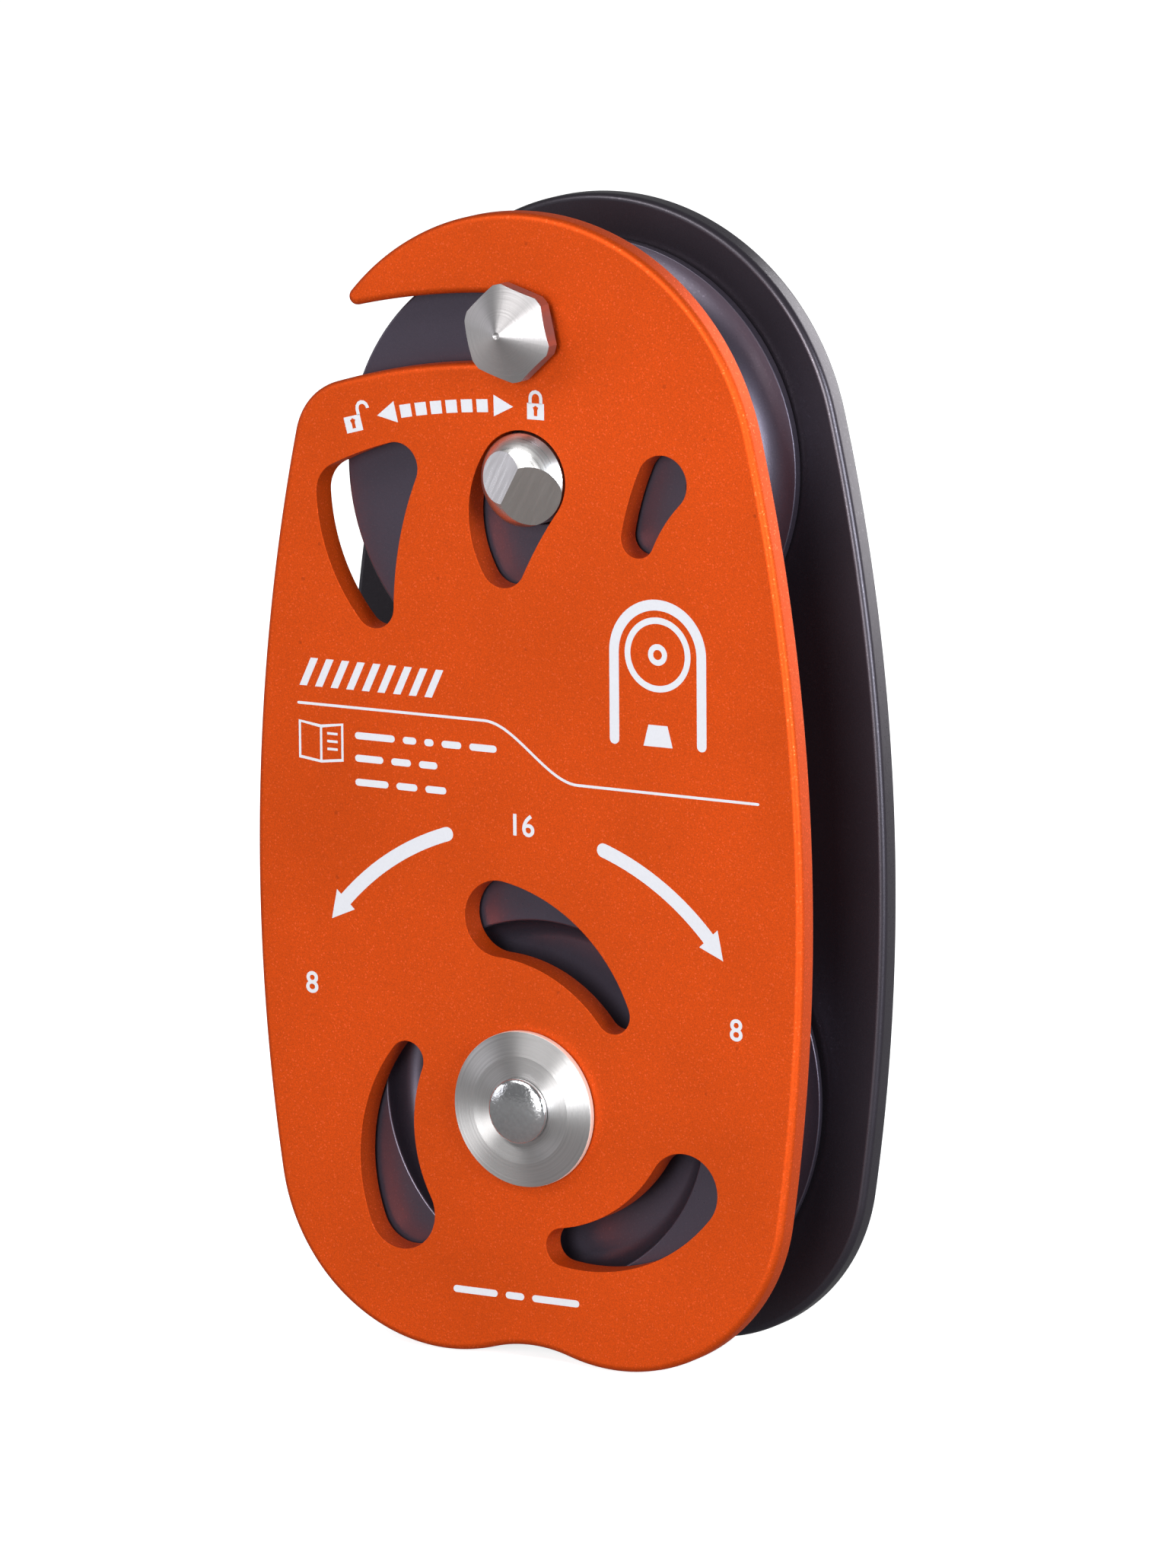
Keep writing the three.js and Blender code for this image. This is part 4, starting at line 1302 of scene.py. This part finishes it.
@dataclass
class Spool:
    """The grooved spool that carries the sling, with its screws and dowel."""

    paints: Paints
    radius: float = 31.0
    tread: float = 25.0
    land: float = 1.6
    front: float = -INNER + 0.7
    rear: float = INNER - CLEARANCE
    rim_round: float = 0.4
    button_bore: float = 6.75
    collar_bore: float = 8.45
    step: float = -0.75
    tooling_reach: float = 25.4
    tooling_radius: float = 1.9
    tooling_depth: float = 3.0

    @staticmethod
    def screw_places() -> list[Point]:
        """Returns the centres of the two screws."""
        return [polar(17.0, degrees) for degrees in (218.0, 322.0)]

    @staticmethod
    def dowel_place() -> Point:
        """Returns the centre of the dowel."""
        return polar(17.0, 150.0)

    def wheel(self) -> bpy.types.Object:
        """Returns the spool."""
        profile = eased([
            *flange(self.radius, self.tread, self.front, self.rear, self.land, self.rim_round),
            (self.collar_bore, self.rear, 0.2), (self.collar_bore, self.step),
            (self.button_bore, self.step), (self.button_bore, self.front, 0.25),
        ])
        spool = turned("fine_spool", profile, SPOOL, 128)
        drill(spool, STUD, 3.75, self.front - 1, self.rear + 1)
        hole = polar(self.tooling_reach, 0.0)
        sink = turned("cutter", [
            (0, self.front - 1), (self.tooling_radius + 1.25, self.front - 1),
            (self.tooling_radius, self.front + 0.25),
            (self.tooling_radius, self.front + self.tooling_depth),
            (0, self.front + self.tooling_depth),
        ], hole, 48)
        combine(spool, sink, "DIFFERENCE")
        shade(spool)
        dress(spool, self.paints.grey)
        return settle(spool, Body.ROOT, "grey_anodised", "upper_spool")

    def screw(self, name: str, centre: Point) -> bpy.types.Object:
        """Returns a countersunk screw with a hexagonal socket.

        Args:
            name: The node that the screw stands for.
            centre: The screw's axis in X and Z.

        Returns:
            The finished screw.
        """
        top = OUTER - CLEARANCE
        screw = turned(f"fine_{name}", eased([
            (0, OUTER - 14), (2.5, OUTER - 14, 0.3), (2.5, top - 2.5), (4.8, top - 0.15, 0.1),
            (4.8, top, 0.08), (1.9, top), (0, top),
        ], 2), centre, 64)
        socket = slab("cutter", hexagon(3.0, 12.0, centre), OUTER - 1.8, OUTER + 1)
        combine(screw, socket, "DIFFERENCE")
        shade(screw)
        dress(screw, self.paints.fixing)
        return settle(screw, Body.ROOT, "stainless", name)

    def dowel(self) -> bpy.types.Object:
        """Returns the locating dowel."""
        low, high = OUTER - 11, OUTER - CLEARANCE
        dowel = turned("fine_dowel", eased([
            (0, low), (2.0, low, 0.3), (2.0, high, 0.3), (0, high)]), self.dowel_place(), 48)
        shade(dowel)
        dress(dowel, self.paints.fixing)
        return settle(dowel, Body.ROOT, "stainless", "spool_dowel")

    def make(self) -> None:
        """Makes the spool and its fixings."""
        self.wheel()
        for name, centre in zip(("spool_screw_left", "spool_screw_right"), self.screw_places()):
            self.screw(name, centre)
        self.dowel()


def flange(radius: float, tread: float, front: float, rear: float, land: float,
           rounding: float) -> list[tuple[float, ...]]:
    """Returns the outside of a grooved wheel, from its front face to its rear face.

    Args:
        radius: Outside radius of the rims.
        tread: Radius at the bottom of the groove.
        front: Y of the front face.
        rear: Y of the rear face.
        land: Width of each rim.
        rounding: Rounding of the rims' outer corners.

    Returns:
        The profile's points, with their rounding.
    """
    middle = (front + rear) / 2
    half = (rear - front) / 2 - land
    depth = radius - tread
    groove = (depth**2 + half**2) / (2 * depth)
    opening = math.degrees(math.asin(half / groove))
    half_angle = opening if groove > depth else 180 - opening
    arc = arc_profile((tread + groove, middle), groove, 180 + half_angle, 180 - half_angle, 28)
    first, last = arc[0], arc[-1]
    return [
        (radius, front, rounding), (first[0], first[1], 0.22), *arc[1:-1],
        (last[0], last[1], 0.22), (radius, rear, rounding),
    ]


# ------------------------------------------------------------------ stud, nut and button


@dataclass
class Lock:
    """The stud that the plate hooks behind, its nut, and the sprung button."""

    paints: Paints
    flats: float = 12.5
    corners: float = 13.7
    head_turn: float = 43.0
    lift: float = 1.6
    wall: float = 2.4
    peak: float = 5.2
    shank: float = 4.3
    neck: float = 3.5
    button: float = 6.5
    proud: float = 3.5
    ridge_proud: float = 2.9
    tail: float = 1.5
    collar: float = 8.2

    def stud(self) -> bpy.types.Object:
        """Returns the stud with its hexagonal head."""
        under = -OUTER - self.lift
        tip = under - self.peak
        slope = (self.peak - self.wall) / (self.flats / 2)
        shoulder = tip + slope * self.corners / 2
        head = slab("fine_stud", hexagon(self.flats, self.head_turn, STUD), tip - 1, under)
        cone = turned("cutter", [
            (0, tip + 0.5), (0.28, tip + 0.42), (0.5, tip + 0.24), (self.corners / 2, shoulder),
            (self.corners / 2, under + 1), (0, under + 1),
        ], STUD, 96)
        combine(head, cone, "INTERSECT")
        ease_edges(head, 0.16, 3, 24)
        end = OUTER + CLEARANCE + 2.4
        seat = -INNER + 0.7 - CLEARANCE
        shank = turned("cutter", eased([
            (0, under - 1), (self.shank, under - 1), (self.shank, seat, 0.1), (self.neck, seat),
            (self.neck, end + 0.6, 0.5), (0, end + 0.6),
        ]), STUD, 64)
        combine(head, shank, "UNION")
        shade(head, 20)
        lathe_map(head, STUD)
        # The hexagonal sides take the painted-shade copy of the stud's steel.
        dress_sides(head, self.paints.stud, self.paints.stud_side_painted_shade)
        return settle(head, Body.ROOT, "stainless", "lock_stud")

    def nut(self) -> bpy.types.Object:
        """Returns the round nut at the back of the stud."""
        low = OUTER + CLEARANCE
        nut = turned("fine_stud_nut", eased([
            (6.6, low, 0.15), (6.6, low + 1.6, 0.2), (5.8, low + 2.4, 0.2),
            (3.75, low + 2.4, 0.2), (3.75, low),
        ]), STUD, 72)
        shade(nut)
        dress(nut, self.paints.nut)
        return settle(nut, Body.ROOT, "stainless", "lock_stud_nut")

    def push_button(self) -> bpy.types.Object:
        """Returns the button: a dome with two flats that meet in a ridge."""
        dome = (self.button**2 + self.proud**2) / (2 * self.proud)
        half = math.degrees(math.asin(self.button / dome))
        centre = (0.0, -OUTER - self.proud + dome)
        cap = arc_profile(centre, dome, -90, -90 + half, 18)[1:]
        button = turned("fine_button", eased([
            (0, -OUTER - self.proud), *cap,
            (self.button, -0.5), (self.collar, -0.5, 0.2), (self.collar, self.tail, 0.2),
            (4.6, self.tail), (4.6, self.tail - 5.5), (0, self.tail - 5.5),
        ]), SPOOL, 96)
        # Dome, then the flats: the long one in a painted-shade copy and the short one in a
        # painted-light copy of one milled finish.
        dress(button, self.paints.dome, self.paints.flat_long_painted_shade, self.paints.flat_short_painted_light)
        normals = [self.ramp(button, -40.0, 27.0), self.ramp(button, 165.0, 17.0)]
        sound(button)
        ease_edges(button, 0.1, 2, 7)
        for polygon in button.data.polygons:
            for slot, normal in enumerate(normals, start=1):
                if polygon.normal.dot(normal) > 0.9995 and polygon.center.y < -OUTER * MM * 0.8:
                    polygon.material_index = slot
        shade(button, 6)
        return settle(button, Body.BUTTON, "stainless", "lock_button")

    def ramp(self, button: bpy.types.Object, facing: float, fall: float) -> Vector:
        """Planes one flat on the dome.

        Args:
            button: The button.
            facing: Which way the flat faces, in degrees from +X.
            fall: How steeply it falls from the ridge.

        Returns:
            The flat's normal.
        """
        tilt, turn = math.radians(fall), math.radians(facing)
        outward = math.sin(tilt)
        normal = Vector((outward * math.cos(turn), -math.cos(tilt), outward * math.sin(turn)))
        edit_all(button)
        bpy.ops.mesh.bisect(
            plane_co=(0, (-OUTER - self.ridge_proud) * MM, 0), plane_no=normal, use_fill=True,
            clear_outer=True, threshold=1e-7)
        bpy.ops.object.mode_set(mode="OBJECT")
        return normal

    def make(self) -> None:
        """Makes the lock."""
        self.stud()
        self.nut()
        self.push_button()


# ------------------------------------------------------------------ sheave, bearing and axle


@dataclass
class Wheelwork:
    """The rope sheave with its bearing, and the axle with its washers and spacers."""

    paints: Paints
    radius: float = 34.5
    tread: float = 27.0
    plate_gap: float = 0.8
    land: float = 1.1
    recess: float = 25.5
    recess_front: float = 4.5
    recess_rear: float = 3.4
    recess_fillet: float = 3.0
    seat: float = 12.25
    shoulder: float = 1.3
    clip_bite: float = 0.8
    clip_thickness: float = 1.0
    race_wall: float = 1.9
    ball_radius: float = 1.6
    pitch_radius: float = 9.0         # circle through the balls' centres
    bearing_radius: float = 12.0
    shield_thickness: float = 0.5
    tenon: float = 4.2                # the axle's thin end, in the washer
    dome_radius: float = 4.6
    dome_height: float = 1.5
    dome_rim: float = 0.4
    washer_radius: float = 11.0
    washer_flat: float = 7.6
    washer_drop: float = 0.7          # fall of the cone towards the washer's rim

    def sheave(self) -> bpy.types.Object:
        """Returns the rope sheave."""
        half = INNER - self.plate_gap
        floor_front, floor_rear = self.recess_front - half, half - self.recess_rear
        groove = self.seat + self.clip_bite
        near, far = RACE_HALF, RACE_HALF + self.clip_thickness + 2 * CLEARANCE
        profile = eased([
            *flange(self.radius, self.tread, -half, half, self.land, 0.4),
            (self.recess, half, 0.35), (self.recess, floor_rear, self.recess_fillet),
            (self.seat, floor_rear, 0.2), (self.seat, far), (groove, far), (groove, near),
            (self.seat, near), (self.seat, -RACE_HALF - CLEARANCE),
            (self.seat - self.shoulder, -RACE_HALF - CLEARANCE),
            (self.seat - self.shoulder, floor_front, 0.2),
            (self.recess, floor_front, self.recess_fillet), (self.recess, -half, 0.35),
        ], 6)
        sheave = turned("fine_sheave", profile, AXLE, 144)
        shade(sheave)
        dress(sheave, self.paints.grey)
        return settle(sheave, Body.SHEAVE, "grey_anodised", "rope_sheave")

    def race_groove(self, side: float, start: float, end: float) -> Loop:
        """Returns the ball groove of a race, on the side of the ball that is given in degrees.

        Args:
            side: The side of the ball, in degrees.
            start: Where the arc starts, as a share of its half width.
            end: Where it ends, likewise.

        Returns:
            The groove's points.
        """
        groove = self.ball_radius + CLEARANCE
        wall = self.pitch_radius - (SLEEVE_BORE + self.race_wall)
        half = math.degrees(math.acos(wall / groove))
        middle = (self.pitch_radius, 0.0)
        return arc_profile(middle, groove, side + start * half, side + end * half, 8)

    def rings(self) -> list[bpy.types.Object]:
        """Returns the two races and the two shields."""
        rim = self.bearing_radius
        inside = rim - self.race_wall
        outside = SLEEVE_BORE + self.race_wall
        parts = [
            ("bearing_outer_race", Body.SHEAVE, [
                (rim, -RACE_HALF, 0.25), (rim, RACE_HALF, 0.25), (inside, RACE_HALF),
                *self.race_groove(0.0, 1.0, -1.0), (inside, -RACE_HALF)]),
            ("bearing_inner_race", Body.ROOT, [
                (outside, -RACE_HALF), *self.race_groove(180.0, 1.0, -1.0), (outside, RACE_HALF),
                (SLEEVE_BORE, RACE_HALF, 0.25), (SLEEVE_BORE, -RACE_HALF, 0.25)]),
        ]
        shield = self.shield_thickness
        shields = {"bearing_shield_front": -RACE_HALF, "bearing_shield_rear": RACE_HALF - shield}
        for name, low in shields.items():
            parts.append((name, Body.SHEAVE, [
                (inside - CLEARANCE, low, 0.12), (inside - CLEARANCE, low + shield, 0.12),
                (outside + CLEARANCE, low + shield, 0.12), (outside + CLEARANCE, low, 0.12)]))
        made = []
        for name, body, profile in parts:
            part = turned(f"fine_{name}", eased(profile, 3), AXLE, 96)
            shade(part)
            dress(part, self.paints.bearing)
            made.append(settle(part, body, "bearing_steel", name))
        return made

    def axle(self) -> bpy.types.Object:
        """Returns the axle with its two peened domes."""
        dome = OUTER + WASHER_THICKNESS + 2 * CLEARANCE
        foot = dome + self.dome_rim
        rise = self.dome_height - self.dome_rim
        cap: list[tuple[float, ...]] = [(self.dome_radius, dome, 0.1), (self.dome_radius, foot)]
        steps = 24
        for i in range(1, steps):
            angle = math.radians(90 * i / steps)
            cap.append((self.dome_radius * math.cos(angle), foot + rise * math.sin(angle)))
        cap.append((0.0, dome + self.dome_height))
        shank = SLEEVE_BORE - CLEARANCE
        half = [(shank, OUTER, 0.15), (self.tenon, OUTER), (self.tenon, dome), *cap]
        axle = turned("fine_axle", eased([*mirrored(half), *half], 3), AXLE, 96)
        shade(axle, 40)
        dress(axle, self.paints.axle)
        return settle(axle, Body.ROOT, "polished_steel", "main_axle")

    def washer(self, side: Side) -> bpy.types.Object:
        """Returns one coned washer.

        Args:
            side: The side of the pulley that it is on.

        Returns:
            The finished washer.
        """
        near = OUTER + CLEARANCE
        far = near + WASHER_THICKNESS
        bore = self.tenon + CLEARANCE
        half = [
            (bore, near), (self.washer_radius, near, 0.15),
            (self.washer_radius, far - self.washer_drop, 0.14),
            (self.washer_flat, far, 0.1), (bore, far, 0.1),
        ]
        profile = half if side is Side.REAR else mirrored(half)
        name = f"axle_washer_{side.name.lower()}"
        washer = turned(f"fine_{name}", eased(profile), AXLE, 128)
        shade(washer, 20)
        lathe_map(washer, AXLE)
        # The side wall takes the painted-sheen copy of the washer's steel.
        dress_sides(washer, self.paints.washer, self.paints.washer_rim_painted_sheen)
        return settle(washer, Body.ROOT, "turned_steel", name)

    def spacers(self) -> None:
        """Makes the tubes that hold the bearing in the middle."""
        outer = SLEEVE_BORE + 1.8
        spans = {
            "axle_spacer_front": (-INNER + 0.9 + 2 * CLEARANCE, -RACE_HALF - CLEARANCE),
            "axle_spacer_rear": (RACE_HALF + CLEARANCE, INNER - CLEARANCE),
        }
        for name, (low, high) in spans.items():
            tube = turned(f"fine_{name}", eased([
                (outer, low, 0.2), (outer, high, 0.2),
                (SLEEVE_BORE, high, 0.2), (SLEEVE_BORE, low, 0.2),
            ]), AXLE, 72)
            shade(tube)
            dress(tube, self.paints.stainless)
            settle(tube, Body.ROOT, "stainless", name)

    def make(self) -> None:
        """Makes the wheelwork."""
        self.sheave()
        self.rings()
        self.axle()
        for side in Side:
            self.washer(side)
        self.spacers()


def dress_kept_nodes(paints: Paints) -> None:
    """Gives the CAD nodes that stay in view their materials."""
    kept: dict[str, bpy.types.Material] = {
        "button_spring": paints.fixing,
        "bearing_cage": paints.plastic,
        "bearing_circlip": paints.fixing,
    }
    kept.update({f"bearing_ball_{i}": paints.bearing for i in range(1, 12)})
    for name, material in kept.items():
        dress(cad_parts[name], material)


# ------------------------------------------------------------------ studio


@dataclass(frozen=True)
class Lamp:
    """A soft rectangular light that faces a point of the pulley."""

    name: str
    place: tuple[float, float, float]
    size: tuple[float, float]
    power: float
    colour: Colour = (1.0, 1.0, 1.0)
    aim: tuple[float, float, float] = (0.0, 0.0, -0.045)

    def make(self) -> None:
        """Hangs the light."""
        light = bpy.data.lights.new(self.name, "AREA")
        light.shape = "RECTANGLE"
        light.size, light.size_y = self.size
        light.energy = self.power
        light.color = self.colour
        lamp = bpy.data.objects.new(self.name, light)
        lamp.location = self.place
        towards = Vector(self.aim) - Vector(self.place)
        lamp.rotation_euler = towards.to_track_quat("-Z", "Y").to_euler()
        bpy.context.scene.collection.objects.link(lamp)


@dataclass
class Studio:
    """The floor, the lights, the plain surroundings and the camera."""

    floor_z: float = -0.1246
    floor_glow: tuple[float, float] = (0.1, 0.75)   # to the lights' bounces, and to the camera
    air: tuple[float, float] = (0.2, 1.0)          # the surroundings, likewise
    camera_place: tuple[float, float, float] = (0.7409, -1.2553, 0.2298)
    right: tuple[float, float, float] = (0.86199, 0.50687, -0.00727)
    up: tuple[float, float, float] = (-0.08765, 0.16316, 0.98270)
    back: tuple[float, float, float] = (0.4993, -0.8464, 0.1851)
    lens: float = 244.66
    lamps: tuple[Lamp, ...] = (
        Lamp("front", (0.32, -1.45, 0.2), (0.5, 0.64), 20.0),
        Lamp("overhead", (-0.35, -0.95, 0.95), (1.0, 0.4), 9.0),
        Lamp("side_right", (1.2, -0.45, 0.16), (0.45, 0.6), 17.0, (0.88, 0.94, 1.0)),
        Lamp("fill_left", (-1.4, -0.7, 0.2), (0.8, 0.6), 2.5, (0.93, 0.94, 1.0)),
        Lamp("back", (0.85, 1.4, 0.5), (1.5, 1.2), 24.0),
    )

    def floor(self) -> None:
        """Lays the pale floor."""
        deselect()
        bpy.ops.mesh.primitive_plane_add(size=12.0, location=(0, 0, self.floor_z))
        floor = bpy.context.active_object
        floor.name = "studio_floor"
        material = bpy.data.materials.new("studio_floor")
        material.use_nodes = True
        shader = material.node_tree.nodes["Principled BSDF"]
        shader.inputs["Roughness"].default_value = 0.9
        shader.inputs["Specular IOR Level"].default_value = 0.1
        shader.inputs["Emission Color"].default_value = (1.0, 1.0, 1.0, 1.0)
        sheet = Sheet(material.node_tree)
        seen = sheet.node("LightPath").outputs["Is Camera Ray"]
        glow = sheet.span(seen, 0.0, 1.0, self.floor_glow[0], self.floor_glow[1])
        sheet.feed(shader.inputs["Emission Strength"], glow)
        sheet.feed(shader.inputs["Base Color"], sheet.mix(
            seen, (0.15, 0.15, 0.15, 1.0), (0.8, 0.8, 0.8, 1.0)))
        dress(floor, material)

    def surroundings(self) -> None:
        """Makes the plain pale surroundings."""
        world = bpy.data.worlds.new("studio")
        world.use_nodes = True
        bpy.context.scene.world = world
        background = world.node_tree.nodes["Background"]
        background.inputs["Color"].default_value = (0.97, 0.98, 1.0, 1.0)
        sheet = Sheet(world.node_tree)
        seen = sheet.node("LightPath").outputs["Is Camera Ray"]
        sheet.feed(background.inputs["Strength"], sheet.span(seen, 0.0, 1.0, *self.air))

    def camera(self) -> None:
        """Sets up the camera."""
        data = bpy.data.cameras.new("camera")
        data.lens = self.lens
        data.sensor_width = 36.0
        data.sensor_fit = "AUTO"
        data.clip_end = 50.0
        camera = bpy.data.objects.new("camera", data)
        turn = Matrix((self.right, self.up, self.back)).transposed().to_4x4()
        camera.matrix_world = Matrix.Translation(self.camera_place) @ turn
        bpy.context.scene.collection.objects.link(camera)
        bpy.context.scene.camera = camera

    def make(self) -> None:
        """Builds the studio."""
        bpy.context.scene.view_settings.view_transform = "Standard"
        self.camera()
        self.floor()
        self.surroundings()
        for lamp in self.lamps:
            lamp.make()


def main() -> None:
    """Builds the pulley's looks and the studio around it."""
    logging.basicConfig(level=logging.INFO, format="%(name)s: %(message)s")
    Studio().make()
    paints = Paints()
    SidePlates(paints).make()
    Spool(paints).make()
    Lock(paints).make()
    Wheelwork(paints).make()
    Print(paints).make()
    dress_kept_nodes(paints)
    deselect()


if __name__ == "__main__":
    main()
